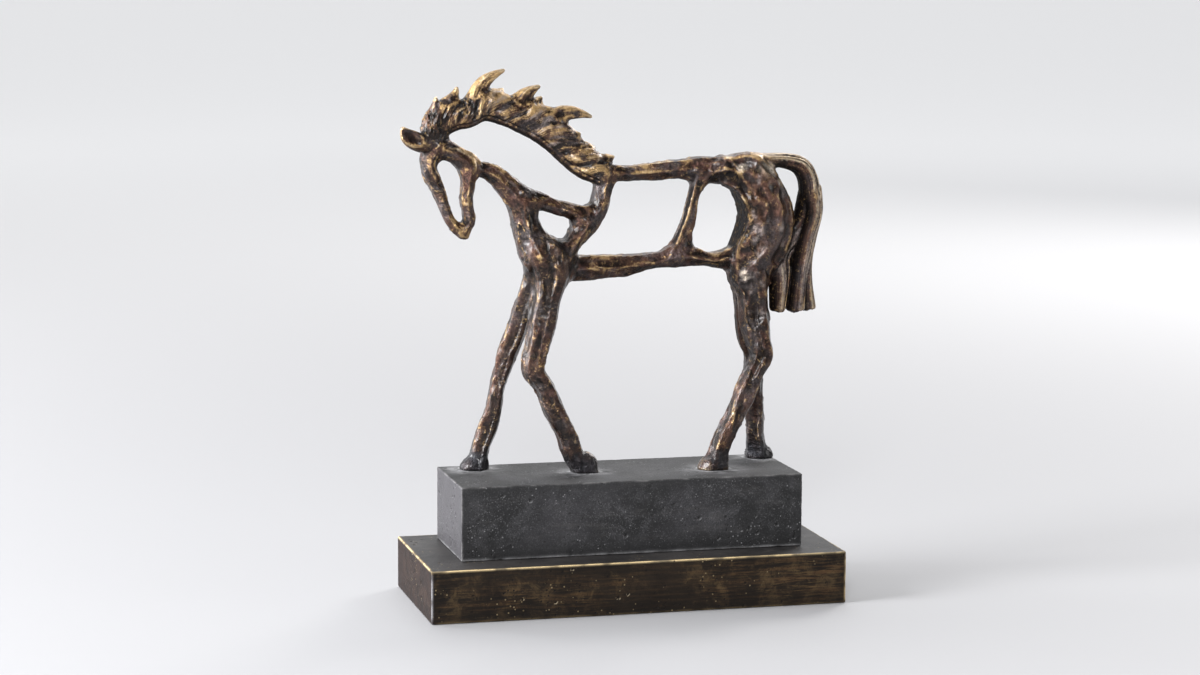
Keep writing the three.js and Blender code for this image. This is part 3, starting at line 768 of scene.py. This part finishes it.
# hand modelling, worked along the bars: scooped planes with sharp ridges between
bend = np.stack([noise(V, 15, 5), noise(V, 15, 6), noise(V, 15, 7)], 1)
slim = np.clip(np.array([np.mean([q[2] for q in S[n]['s']]) for n in NAMES])[ids] / 11, .5, 1.1)
plane = scoops(along + bend * 3, (27, 9.5, 9.5), 11) * (1 - seam) + scoops(V + bend * 2.5, 14, 12) * seam
plane2 = scoops(V + bend * 1.5, (5.5, 5.5, 6.5), 15)
def pinches(along, bend):
    return (1 - np.abs(noise(along + bend * 3, (30, 9, 9), 21))) ** 9 * step(-.1, .35, noise(along, (34, 16, 16), 23))


pinch = pinches(along, bend) * (1 - seam)
hand = slim * (.95 * plane + .95 * pinch + .4 * fbm(along, (30, 13, 13), 1, 2) * (1 - seam)) * (1 - .35 * seam) + .22 * plane2 + .2 * noise(V, 3.4, 2)
d = body_s * (hand - .5) * (1 - .75 * rumpness)
# the rump is rougher: long crumpled planes, thin raised wrinkles, a lip along its rear edge
plane = scoops(along + bend * 5, (38, 15, 15), 41) * (1 - seam) + .8 * scoops(V + bend * 4, (20, 18, 24), 42) * seam


def wrinkles(V, bend):
    return ((1 - np.abs(noise(V + bend * 5, (19, 26, 27), 43))) ** 14 * step(-.1, .25, noise(V, 26, 44)),
            (1 - np.abs(noise(V + bend * 4, (11, 16, 14), 47))) ** 9 * step(0, .35, noise(V, 18, 48)))


wrinkle, wrinkle2 = wrinkles(V, bend)
rear = np.where(ids == rump_id, u * step(0, 26, total - arc), 0)
lip = np.exp(-((rear - .86) / .10) ** 2) - .9 * np.exp(-((rear - .64) / .12) ** 2)
front = np.exp(-((rear + .93) / .07) ** 2)
rough = 2.5 * plane + .2 * plane2 + 1.35 * wrinkle + .7 * wrinkle2 + .5 * fbm(V, 22, 31, 2) + .2 * noise(V, 3.6, 33) + (.8 * lip * step(-.3, .3, noise(V, 26, 35) + .25) + .6 * front) * (1 - seam)
calm = 1 - .45 * np.exp(-((V[:, 0] - 130) / 15) ** 2 - ((V[:, 2] - 311) / 17) ** 2)
d += rumpness * calm * (rough - 1.1) * (1 - .86 * inner_wall) * (1 - .55 * step(.3, .9, N[:, 2]))
# the mane: strands and clefts that rise from the rim and lean back
lines, h = crest_lines(ids, arc, u)
n_mm, m_mm = along[:, 1] - ids * 11.3, along[:, 2]
in_crest = (ids == crest_id)
sway = 3.2 * noise(np.stack([h * 26, arc, m_mm], 1), (18, 24, 30), 51)
strand = np.stack([h * 28, lines + sway, m_mm], 1)
cleft = (1 - np.abs(noise(strand, (42, 9.5, 16), 53))) ** 6 * step(-.25, .3, noise(strand, (18, 14, 16), 54))
fold = np.abs(noise(strand, (34, 12, 20), 55)) * 2 - .6
g_crest = step(.14, .3, h) * (.75 * fbm(strand, (24, 5.5, 12), 56, 2) + (1 - step(40, 75, arc)) * (.8 * fbm(strand, (20, 3.4, 9), 58, 2) - 1.0 * step(.35, .75, noise(strand, (4.2, 2.3, 2.6), 59))) - 1.7 * cleft * step(25, 60, arc) + 1.3 * fold * step(20, 60, arc)) - .8 * np.exp(-((h - .155) / .03) ** 2) + .25 * (1 - step(.1, .16, h))
t = arc / np.maximum(total, 1)
across = np.stack([arc, n_mm + ids * 9.1, ids * 5.0], 1)
g_lock = -1.25 * np.clip(1 - ((u + .1) / .62) ** 2, 0, 1) * step(0, .15, t) * (1 - step(.72, .98, t)) + .75 * fbm(across, (20, 3.0, 9), 57, 2) * (1 - .6 * t)
d += mane_s * (1 - .75 * seam) * np.where(in_crest, g_crest, g_lock) + mane_s * (.18 * plane2 + .15 * noise(V, 3.0, 8))
# the tail: long lines, closest together on its outer side
outer = step(-.35, .65, u)
angle = th + .2 * noise(np.stack([arc, ids * 3.1, th * 0], 1), (45, 1, 1), 61)
lines_t = (1 - np.abs(np.sin(angle * 3.5))) ** 2.6
lines_f = (1 - np.abs(np.sin(angle * 8 + .4))) ** 2.0
start = np.where(ids == NAMES.index('tail_root'), step(.12, .5, t), 1.0)
d += tail_s * start * (1 - .5 * seam) * (-(.65 + .9 * outer) * lines_t - (.25 + .6 * outer) * lines_f + .3)
d += tail_s * (.25 * fbm(along, (34, 9, 9), 65, 2) + .06 * scoops(along, (16, 5, 5), 66))
# one sharp ridge runs down the flank bar
in_flank = averaged((ids == NAMES.index('flank')).astype(float), E, 4)
d += in_flank * (1 - seam) * (.9 * np.exp(-((np.degrees(th) + 128) / 12) ** 2) - .2)


def hole_rim(V, N):
    """how far from the middle of the flank hole, and where its upper rim faces the near side"""
    q = np.sqrt(((V[:, 0] - 99) / 17.5) ** 2 + ((V[:, 2] - 342) / 30) ** 2)
    return q, step(332, 354, V[:, 2]) * (1 - step(112, 128, V[:, 0])) * step(-.1, .3, -N[:, 1])


q, rim = hole_rim(V, N)
d += rim * (1.0 * np.exp(-((q - 1.5) / .09) ** 2) - 1.5 * np.exp(-((q - 1.24) / .14) ** 2))
d = d + .6 * (d - averaged(d, E, 3))
d = averaged(d, E, 1, .3)
d *= step(HOOF_PLANE + .2, HOOF_PLANE + 4, V[:, 2])
V = V + N * d[:, None]
V[:, 2] = np.maximum(V[:, 2], HOOF_PLANE)

me = new_mesh('horse_raw', V, Q)
horse = link('horse_cast', me)
TARGET = 190000
tris = 2 * len(Q)
print('horse quads', len(Q), 'verts', len(V))
if tris > TARGET:
    mod = horse.modifiers.new('thin', 'DECIMATE')
    mod.ratio = TARGET / tris
    mod.use_collapse_triangulate = True
    dg = bpy.context.evaluated_depsgraph_get()
    thin = bpy.data.meshes.new_from_object(horse.evaluated_get(dg))
    horse.modifiers.clear()
    old = horse.data
    horse.data = thin
    bpy.data.meshes.remove(old)
me = horse.data
me.name = 'horse_cast'
V = coords(me)
V[:, 2] = np.maximum(V[:, 2], HOOF_PLANE)
lo, hi = np.array(cad_box[0]) * 1000, np.array(cad_box[1]) * 1000
V = np.clip(V, lo + .02, hi - .02)
me.vertices.foreach_set('co', (V / 1000).astype(F32).ravel())
me.update()
E = edges_of(me)
tri = np.empty(len(me.loops), np.int32)
me.loops.foreach_get('vertex_index', tri)
tri = tri.reshape(-1, 3)
N = normals_of(V, tri)


def evened(x):
    x = x - np.median(x)
    return np.clip(x / (np.percentile(np.abs(x), 80) + 1e-9), -3, 3)


# what stands proud and what lies deep, at two sizes
s3, s20 = averaged(V, E, 4), averaged(V, E, 30)
fine = averaged(evened(((V - s3) * N).sum(1)), E, 1)
broad = evened(((s3 - s20) * N).sum(1))
ids, zid, arc, total, u, v, th, along = where_is(V)
lines, h = crest_lines(ids, arc, u)
seam = np.zeros(len(V))
seam[E[ids[E[:, 0]] != ids[E[:, 1]]].ravel()] = 1
seam = np.clip(averaged(seam, E, 6) * 3, 0, 1)
mane_a = averaged((zid == 1).astype(float), E, 6)
tail_a = averaged((zid == 2).astype(float), E, 6)
ear_a = averaged((zid == 3).astype(float), E, 3)
head_a = averaged(np.isin(ids, [NAMES.index('nose'), NAMES.index('jaw')]).astype(float), E, 12)
# brushed colour: streaks that follow the bars, and clouds that don't
coord = along.copy()
m = ids == crest_id
coord[m] = np.stack([h[m] * 28, lines[m], v[m] * 8], 1)
streak = fbm(coord, (17, 3.6, 3.6), 71, 3)
streak2 = fbm(coord, (6, 1.7, 1.7), 75, 2)
cloud = fbm(V, 34, 81, 3)
cloud2 = fbm(V, 13, 85, 3)
cloud3 = fbm(V, 7, 87, 3)
# painted shade, also made rougher: the flank hole's inner wall, which is matte as well, the tail's inner side, the
# mane's lower rim and every face turned down
matte_and_shade = np.maximum(averaged(step(.45, .8, -N[:, 0]) * np.isin(ids, [rump_id]), E, 2), tail_a * step(.1, .7, -u))
matte_and_shade = np.maximum(matte_and_shade, mane_a * step(.72, .92, -u) * (ids == crest_id))
matte_and_shade = np.maximum(matte_and_shade, .8 * step(.55, .9, -N[:, 2]) * (V[:, 2] > 230))
bend = np.stack([noise(V, 15, 5), noise(V, 15, 6), noise(V, 15, 7)], 1)
wrinkle, wrinkle2 = wrinkles(V, bend)
rumpness = averaged(((ids == rump_id) | ((ids == NAMES.index('near_hind')) & (V[:, 2] > 245))).astype(float), E, 12)
pinch = np.where(zid == 0, pinches(along, bend) * (1 - rumpness) + np.maximum(wrinkle, .8 * wrinkle2) * rumpness, 0) * (1 - seam)
pinch = pinch * (1 - .5 * np.exp(-((V[:, 0] - 130) / 15) ** 2 - ((V[:, 2] - 311) / 17) ** 2))
lip = (ids == rump_id) * np.exp(-((u - .88) / .13) ** 2) * (1 - step(-.1, .5, v))
flank_a = averaged((ids == NAMES.index('flank')).astype(float), E, 3) * (1 - seam)
flank_th = np.degrees(th) + 128
# more painted shade: the flank bar's left plane, the hind legs' left faces, the tail root's underside and a band under
# the flank hole's upper rim
matte_and_shade = np.maximum(matte_and_shade, .95 * flank_a * (flank_th < -7) * (flank_th > -100))
thigh = np.isin(ids, [NAMES.index('near_hind'), NAMES.index('far_hind')]) * step(190, 225, V[:, 2])
matte_and_shade = np.maximum(matte_and_shade, .75 * averaged(thigh * step(.35, .75, -N[:, 0]), E, 2))
root = (ids == NAMES.index('tail_root')) * (1 - step(25, 45, arc)) * step(10, 16, arc)
matte_and_shade = np.maximum(matte_and_shade, root * step(-.1, .35, -u))
q, rim = hole_rim(V, N)
matte_and_shade = np.maximum(matte_and_shade, .7 * rim * np.exp(-((q - 1.2) / .17) ** 2))
hole_edge = (ids == rump_id) * np.exp(-((u + .9) / .09) ** 2) * (1 - step(-.6, -.2, v)) * (1 - seam)
shown = step(-.35, .5, cloud + .4 * N[:, 2] + .5 * mane_a + .3 * ear_a + .1 * head_a) * (1 - matte_and_shade)
ridge = step(.8, 2.2, fine + .4 * broad) * (.3 + .7 * shown) * (1 - .55 * (zid == 0))
ridge = np.maximum(ridge, step(.4, .85, pinch) * (.5 + .5 * shown))
ridge = np.maximum(ridge, .6 * flank_a * np.exp(-((flank_th - 4) / 10) ** 2) * step(-.7, .3, cloud3))
ridge = np.maximum(ridge, .75 * hole_edge * step(-.5, .4, cloud2))
ridge = np.maximum(ridge, .6 * rim * np.exp(-((q - 1.5) / .06) ** 2) * step(-.6, .4, cloud2))
angle = th + .2 * noise(np.stack([arc, ids * 3.1, th * 0], 1), (45, 1, 1), 61)
groove = tail_a * step(.3, .75, (1 - np.abs(np.sin(angle * 3.5))) ** 2.6) * (1 - seam)
hump = tail_a * step(.80, .99, np.abs(np.sin(angle * 3.5))) * step(-.35, .35, fbm(coord, (40, 6, 6), 93, 2) + .5 * u) * (1 - matte_and_shade) * (1 - seam)
patch = step(.0, 1.15, 1.0 * streak + .55 * cloud2 + .5 * streak2 + .3 * broad + .5 * mane_a + .25 * head_a + .05 * ear_a + .3 * N[:, 2] + .22 * fine + .2 * cloud - .6 * matte_and_shade - .24 * (zid == 0) - .12 * rumpness + .75 * lip + tail_a * (.75 * step(-.1, .8, u) - .3 * step(0, .6, -u) + .35 * (1 - step(262, 292, V[:, 2]))) - .3 * (zid == 0) * (1 - step(190, 270, V[:, 2])) - .5 * (ids == crest_id) * (1 - step(6, 20, arc)))
gold = np.clip(.8 * ridge + .85 * patch + .5 * hump, 0, 1) * (1 - .15 * tail_a * (1 - ridge)) * (1 - .8 * matte_and_shade * (1 - ridge))
# painted shade: less gold on the right halves of the far legs, and across the far foreleg except its left edge
far = np.isin(ids, [NAMES.index('far_fore'), NAMES.index('far_hind')]) * step(-.2, .5, u) * step(-.3, .3, -N[:, 1])
gold = gold * (1 - .55 * far) * (1 - .6 * np.isin(ids, [NAMES.index('far_fore')]) * step(-.75, -.5, u))
# a darker tone and painted shade: legs darkened, the far legs most, their lit left edges spared; the head and neck bars
# darker in patches
dark_tone_and_shade = np.zeros(len(V))
for n, much in (('far_fore', .85), ('near_fore', .5), ('near_toe', .4), ('near_hind', .4), ('far_hind', .6)):
    dark_tone_and_shade += much * (ids == NAMES.index(n))
dark_tone_and_shade = averaged(dark_tone_and_shade, E, 12) * (.25 + .75 * step(-.9, -.6, u)) * step(-.9, .3, cloud2 + .6 * streak + .3)
dark_tone_and_shade = np.maximum(dark_tone_and_shade, .3 * averaged(np.isin(ids, [NAMES.index(n) for n in ('nose', 'jaw', 'throat', 'belly', 'shoulder', 'withers')]).astype(float), E, 8) * step(-.3, .5, cloud2))
set_attr(me, 'dark_tone_and_shade', dark_tone_and_shade)
gold = gold * (1 - .35 * dark_tone_and_shade)
set_attr(me, 'gold', gold)
set_attr(me, 'matte_and_shade', matte_and_shade)
# a coordinate across the hair, for its finest lines
m_mm = along[:, 2]
sway = 3.2 * noise(np.stack([h * 26, arc, m_mm], 1), (18, 24, 30), 51)
line = np.where(zid == 1, np.where(ids == crest_id, lines + sway, along[:, 1] - ids * 11.3), th * 11 + 1.5 * noise(np.stack([arc, th * 0, ids * 3.0], 1), (30, 1, 1), 63))
lined = np.where(zid == 1, .6 * step(-.3, .4, cloud3) * step(.15, .25, h + (ids != crest_id)), (.25 + .75 * step(.1, .6, u)) * step(-.6, .3, cloud + .4) * .8) * np.isin(zid, (1, 2)) * (1 - seam)
set_attr(me, 'line', line)
set_attr(me, 'lined', np.clip(averaged(lined, E, 1), 0, 1))
# pale: the whitest rubbed gold, plus painted highlights: a spot at the croup, spots on the rump and the tops of the
# tail's ridges
croup_highlight = np.exp(-((V[:, 0] - 138) / 8) ** 2 - ((V[:, 2] - 386) / 6) ** 2) * step(.1, .6, -N[:, 1])
set_attr(me, 'pale', np.clip(step(1.1, 2.1, ridge + patch + .35 * fine * shown + .3 * tail_a * step(.2, .9, u)) * (1 - .6 * ear_a) * (1 - .5 * mane_a) + .3 * croup_highlight + .5 * rumpness * step(.42, .62, fbm(V, (9, 9, 13), 103, 3) + .25 * cloud2 + .15 * N[:, 2]) * (1 - matte_and_shade) + .6 * hump + .4 * tail_a * step(.15, .8, u) * step(-.2, .45, fbm(coord, (44, 5, 5), 109, 2)) * (1 - groove), 0, 1))
set_attr(me, 'brown', step(-.75, .75, .45 * broad + .1 * fine + .8 * streak + .8 * cloud2 + .3 * mane_a + .35 * tail_a + .15 * rumpness - .22 * (zid == 0) * (1 - step(240, 290, V[:, 2]))))
# lilac-grey patches on the mane and tail; on the rump and legs they are a painted sheen, stronger on faces turned up
ash_and_sheen = mane_a * (ids == crest_id) * step(.05, .5, fbm(coord, (13, 3.4, 3.4), 101, 3) + .4 * cloud2) * step(25, 70, arc)
ash_and_sheen = np.maximum(ash_and_sheen, 1.0 * rumpness * step(.14, .42, fbm(V, (9, 9, 13), 103, 3) + .25 * cloud2 + .15 * N[:, 2]))
ash_and_sheen = np.maximum(ash_and_sheen, .38 * (zid == 0) * (1 - rumpness) * step(.22, .6, fbm(along, (28, 5, 5), 105, 3)))
ash_and_sheen = np.maximum(ash_and_sheen, .8 * tail_a * step(.0, .5, fbm(along, (40, 4, 4), 107, 2) + .5 * u - .1) * (1 - groove))
set_attr(me, 'ash_and_sheen', ash_and_sheen * (1 - matte_and_shade))
set_attr(me, 'red', step(-.1, .5, cloud3 + .6 * fbm(V, 22, 91, 2) - .5 * mane_a))
set_attr(me, 'cool', step(-.05, .45, -cloud2 + .6 * fbm(V, 16, 95, 2)) * (1 - .3 * mane_a) * (1 - (ids == crest_id) * (1 - step(12, 34, arc))))
# deep: dark patina in hollows and tail grooves, plus painted shade on the far legs' right halves
set_attr(me, 'deep', step(.65, 2.1, -.7 * fine - .6 * broad - .4 * streak2) * (1 - .35 * rumpness) * (1 - .3 * (zid == 0)) + .7 * groove + .3 * far)
hoof_top = HOOF_PLANE + 15 + 4 * noise(V, 9, 77)
# painted highlight: the hoof's dark colour is lifted from the rim of the forefoot's hollow sole, so gold shows there
toe_rim_highlight = np.exp(-((V[:, 0] + 18) / 3) ** 2) * (V[:, 1] < 25)
set_attr(me, 'hoof', (1 - step(hoof_top - 4, hoof_top + 6, V[:, 2])) * (1 - .7 * toe_rim_highlight) * (1 - .35 * ((V[:, 0] > 60) & (V[:, 1] < 15))))
smooth_shading(me)
me.materials.append(bronze_material())
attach(horse, 'root')
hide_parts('horse')
del field, bar


# ---------------------------------------------------------------------- plinth
def cast_block(name, box, cell, radius, seed, pits, clusters):
    """a cast block: rounded, slightly uneven edges, and pits in its faces"""
    (x0, x1), (y0, y1), (z0, z1) = box['x'], box['y'], box['z']
    lo, hi = np.array([x0, y0, z0]), np.array([x1, y1, z1])
    size = hi - lo
    def line(a, b, c):
        n = max(2, int(round((b - a - 2 * radius) / c)))
        return np.array([a, a + radius * .45] + list(np.linspace(a + radius, b - radius, n + 1)) + [b - radius * .45, b])
    gx, gy, gz = line(x0, x1, cell), line(y0, y1, cell), line(z0, z1, cell)
    nx, ny, nz = len(gx), len(gy), len(gz)
    shell = np.zeros((nx, ny, nz), bool)
    shell[0], shell[-1], shell[:, 0], shell[:, -1], shell[:, :, -1] = (True,) * 5
    ring = np.ones((nx, ny), bool)
    ring[3:-3, 3:-3] = False
    shell[:, :, 0] |= ring
    ids = -np.ones((nx, ny, nz), np.int64)
    w = np.argwhere(shell)
    ids[shell] = np.arange(len(w))
    P = np.stack([gx[w[:, 0]], gy[w[:, 1]], gz[w[:, 2]]], 1)
    tris = []
    def sheet(a, flip):
        q = np.stack([a[:-1, :-1], a[1:, :-1], a[1:, 1:], a[:-1, 1:]], -1).reshape(-1, 4)
        q = q[(q >= 0).all(1)]
        if flip:
            q = q[:, ::-1]
        tris.append(q[:, [0, 1, 2]])
        tris.append(q[:, [0, 2, 3]])
    sheet(ids[0], True); sheet(ids[-1], False)
    sheet(ids[:, 0], False); sheet(ids[:, -1], True)
    sheet(ids[:, :, 0], True); sheet(ids[:, :, -1], False)
    # the hidden middle of the underside is one plain fan
    loop = [ids[i, 2, 0] for i in range(2, nx - 3)] + [ids[nx - 3, j, 0] for j in range(2, ny - 3)]
    loop += [ids[i, ny - 3, 0] for i in range(nx - 3, 2, -1)] + [ids[2, j, 0] for j in range(ny - 3, 2, -1)]
    loop = np.array(loop)
    centre = len(P)
    P = np.vstack([P, [(x0 + x1) / 2, (y0 + y1) / 2, z0]])
    tris.append(np.stack([np.roll(loop, -1), loop, np.full(len(loop), centre)], 1))
    T = np.vstack(tris)
    # rounded edges: points go on to a ball round the inset box
    inner = np.clip(P, lo + radius, hi - radius)
    v = P - inner
    r = np.linalg.norm(v, axis=1)
    out = v / np.maximum(r, 1e-9)[:, None]
    P = inner + out * radius
    gap = np.sort(np.minimum(P - lo, hi - P), axis=1)
    edge = np.exp(-(np.maximum(gap[:, 1] - .35, 0) / .75) ** 2)
    near_edge = np.exp(-np.maximum(gap[:, 1], 0) / 9)
    worn = edge * np.clip(.45 * noise(P, 7, seed + 3) + .5 * noise(P, 2.6, seed + 4) - .1, 0, 1)
    P = P - out * (worn * .7)[:, None]
    P = P - out * (.09 * np.abs(fbm(P, 30, seed + 5, 3)) * (1 - edge))[:, None]
    rng = np.random.default_rng(seed)
    pit_shade_glint = np.zeros(len(P))
    area = np.array([size[1] * size[2], size[1] * size[2], size[0] * size[2], size[0] * size[2], 0, size[0] * size[1] * .35])
    share = area / area.sum()
    centres = [(rng.choice(6, p=share), rng.random(3)) for _ in range(clusters)]
    for _ in range(pits):
        if rng.random() < .6:
            f, c = centres[rng.integers(len(centres))]
            q = c + rng.normal(0, 1, 3) * 8 / size
        else:
            f, q = rng.choice(6, p=share), rng.random(3)
        q = np.clip(q, .02, .98)
        q[f // 2] = f % 2
        c = lo + q * size
        r0 = .25 + .85 * rng.random() ** 5
        near = np.where((np.abs(P - c) < 3.5).all(1))[0]
        if not len(near):
            continue
        dd = np.linalg.norm(P[near] - c, axis=1)
        dd = dd - dd.min() * np.exp(-(dd - dd.min()))
        s = np.exp(-(dd / (r0 + .12)) ** 2)
        # painted shade in each pit, and a painted glint on its lip, brightest on the lower side
        lip = np.exp(-((dd - r0 * 1.5 - .35) / (r0 * .5 + .15)) ** 2)
        P[near] -= out[near] * (1.1 * r0 * s)[:, None]
        below = .35 + .65 * step(-.8, .4, c[2] - P[near, 2]) if f < 4 else .6
        pit_shade_glint[near] += -s + .55 * lip * below * step(.3, .6, r0)
    P = np.clip(P, lo + .01, hi - .01)
    P[centre] = [(x0 + x1) / 2, (y0 + y1) / 2, z0 + .01]
    me = new_mesh(name, P, T)
    set_attr(me, 'edge', edge * (.3 + .7 * step(-.55, .25, noise(P, 9, seed + 8))))
    set_attr(me, 'pit_shade_glint', np.clip(pit_shade_glint, -1, 1))
    set_attr(me, 'shade', np.clip(near_edge + .7 * np.exp(-(P[:, 2] - z0) / 16), 0, 1))
    smooth_shading(me)
    return link(name, me), P, out


CELL = 1.12
block, P, Nn = cast_block('upper_block_cast', BLOCK, CELL, 1.0, 11, 300, 22)
# a pale crust where the hooves are set, and a pale line along the foot of the block
sole = V[V[:, 2] < HOOF_PLANE + .4]
foot = np.zeros(len(P))
on_top = P[:, 2] > BLOCK['z'][1] - 1.5
for cx, cy in ((-125.5, 43), (-31, 7), (86, -4.5), (146.5, 45)):
    near = sole[np.hypot(sole[:, 0] - cx, sole[:, 1] - cy) < 30]
    if len(near):
        c2, rr = (near[:, :2].min(0) + near[:, :2].max(0)) / 2, np.ptp(near[:, :2], axis=0) / 2 + .2
        q = (P[:, :2] - c2) / (rr + 2.2)
        rad = np.sqrt((q ** 2).sum(1))
        foot = np.maximum(foot, on_top * np.exp(-((rad - .97) / .17) ** 2) * (.7 + .8 * noise(P, 2.2, 60)))
        foot = np.maximum(foot, on_top * np.exp(-(rad / 1.7) ** 4) * (.35 + .35 * noise(P, 7, 61)))
low = np.exp(-((P[:, 2] - BLOCK['z'][0]) / 1.6) ** 2)
foot = np.maximum(foot, low * (.55 + .45 * noise(P, 12, 62)))
set_attr(block.data, 'foot', np.clip(foot, 0, 1))
set_attr(block.data, 'top', step(BLOCK['z'][1] - 1.2, BLOCK['z'][1] - .4, P[:, 2]))
# the block's end faces, which carry a painted sheen
set_attr(block.data, 'end', (P[:, 0] < BLOCK['x'][0] + .9) | (P[:, 0] > BLOCK['x'][1] - .9))
block.data.materials.append(block_material())
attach(block, 'root')
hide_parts('upper_block')

slab, P, Nn = cast_block('lower_slab_cast', SLAB, CELL * 1.08, 1.1, 23, 240, 18)
set_attr(slab.data, 'top', step(SLAB['z'][1] - 1.6, SLAB['z'][1] - .6, P[:, 2]))
set_attr(slab.data, 'silver', (P[:, 0] < SLAB['x'][0] + 3) * (1 - step(SLAB['z'][1] - 4, SLAB['z'][1] - 1, P[:, 2])))
set_attr(slab.data, 'end', step(188.3, 189.2, np.abs(P[:, 0])))
low_edge = step(1.0, 4.0, P[:, 2])
data = np.empty(len(P), F32)
slab.data.attributes['edge'].data.foreach_get('value', data)
slab.data.attributes['edge'].data.foreach_set('value', (data * (.25 + .75 * low_edge)).astype(F32))
slab.data.materials.append(slab_material())
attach(slab, 'root')
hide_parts('lower_slab')


# ------------------------------------------------------------------- the studio
def plain(name, near, far, rough):
    """a plain pale surface that grows a little paler away from the middle"""
    m = Nodes(name)
    n = m.t.nodes.new('ShaderNodeVectorMath')
    n.operation = 'LENGTH'
    m.t.links.new(m.co, n.inputs[0])
    base = m.mix(m.ramp(n.outputs['Value'], .4, 6.5), near, far)
    m.set(Base_Color=base, Roughness=rough)
    return m.mat


fl = bpy.data.meshes.new('studio_floor')
R = 45.0
fl.from_pydata([(-R, -R, -.0004), (R, -R, -.0004), (R, R, -.0004), (-R, R, -.0004)], [], [(0, 1, 2, 3)])
floor = link('studio_floor', fl)
fl.materials.append(plain('pale_floor', (.36, .36, .37), (.97, .97, .98), .7))

world = bpy.data.worlds.new('studio')
bpy.context.scene.world = world
world.use_nodes = True
wt = world.node_tree
bg = wt.nodes['Background']
way = wt.nodes.new('ShaderNodeVectorMath')
way.operation = 'DOT_PRODUCT'
wt.links.new(wt.nodes.new('ShaderNodeTexCoord').outputs['Generated'], way.inputs[0])
way.inputs[1].default_value = (-.34, .94, 0)
turn = wt.nodes.new('ShaderNodeMapRange')
turn.interpolation_type = 'SMOOTHSTEP'
turn.inputs['From Min'].default_value, turn.inputs['From Max'].default_value = -.15, .55
turn.inputs['To Min'].default_value, turn.inputs['To Max'].default_value = .15, .95
wt.links.new(way.outputs['Value'], turn.inputs['Value'])
wt.links.new(turn.outputs['Result'], bg.inputs['Strength'])
bg.inputs['Color'].default_value = (.86, .87, .89, 1)


def area(name, loc, target, w, h, power, color=(1, 1, 1)):
    L = bpy.data.lights.new(name, 'AREA')
    L.shape = 'RECTANGLE'
    L.size, L.size_y = w, h
    L.energy = power
    L.color = color
    ob = link(name, L)
    z = (np.array(loc, float) - np.array(target, float))
    z /= np.linalg.norm(z)
    x = np.cross((0, 0, 1), z)
    x /= np.linalg.norm(x)
    y = np.cross(z, x)
    M = Matrix(((x[0], y[0], z[0], loc[0]), (x[1], y[1], z[1], loc[1]), (x[2], y[2], z[2], loc[2]), (0, 0, 0, 1)))
    ob.matrix_world = M
    return ob


area('key', (-2.95, -.45, 1.3), (0, 0, .25), 1.3, 1.6, 190, (.98, .985, 1))
area('front', (-1.2, -3.7, 2.2), (0, 0, .25), 1.0, 1.0, 122, (.99, .99, 1))
area('side', (-2.4, 1.6, .6), (0, 0, .28), .6, 1.7, 45, (.98, .98, 1))
area('rim', (2.4, 2.2, 2.0), (0, 0, .3), 1.1, 1.1, 60, (1, .98, .96))
area('right', (2.6, -1.5, .9), (.1, 0, .3), .5, 1.3, 13, (1, .98, .96))
L = bpy.data.lights.new('sky', 'SUN')
L.energy = 1.3
L.angle = math.radians(60)
sky = link('sky', L)
sky.matrix_world = Matrix.Rotation(math.radians(-28), 4, 'X')

# ------------------------------------------------------------------- the camera
cam = bpy.data.cameras.new('photo_view')
cam.sensor_width = 36
cam.lens = 2899.5426 / 1200 * 36
cam.clip_start, cam.clip_end = .05, 100
cam_ob = link('photo_view', cam)
az, el, roll = math.radians(-14.66646), math.radians(7.728022), math.radians(.321263)
B = np.array([math.sin(az) * math.cos(el), -math.cos(az) * math.cos(el), math.sin(el)])
right = np.array([math.cos(az), math.sin(az), 0])
up = np.cross(B, right)
Rv = math.cos(roll) * right + math.sin(roll) * up
Uv = -math.sin(roll) * right + math.cos(roll) * up
Cc = (np.array([0, 0, 250.0]) - 18.91339 * right + np.array([0, 0, -13.92127]) + B * 2610.6755) / 1000
cam_ob.matrix_world = Matrix(((Rv[0], Uv[0], B[0], Cc[0]), (Rv[1], Uv[1], B[1], Cc[1]), (Rv[2], Uv[2], B[2], Cc[2]), (0, 0, 0, 1)))
bpy.context.scene.camera = cam_ob
bpy.context.scene.view_settings.view_transform = 'Standard'
bpy.context.scene.view_settings.look = 'None'

for ob in (horse, block, slab):
    print(ob.name, len(ob.data.vertices), sum(len(p.vertices) - 2 for p in ob.data.polygons))
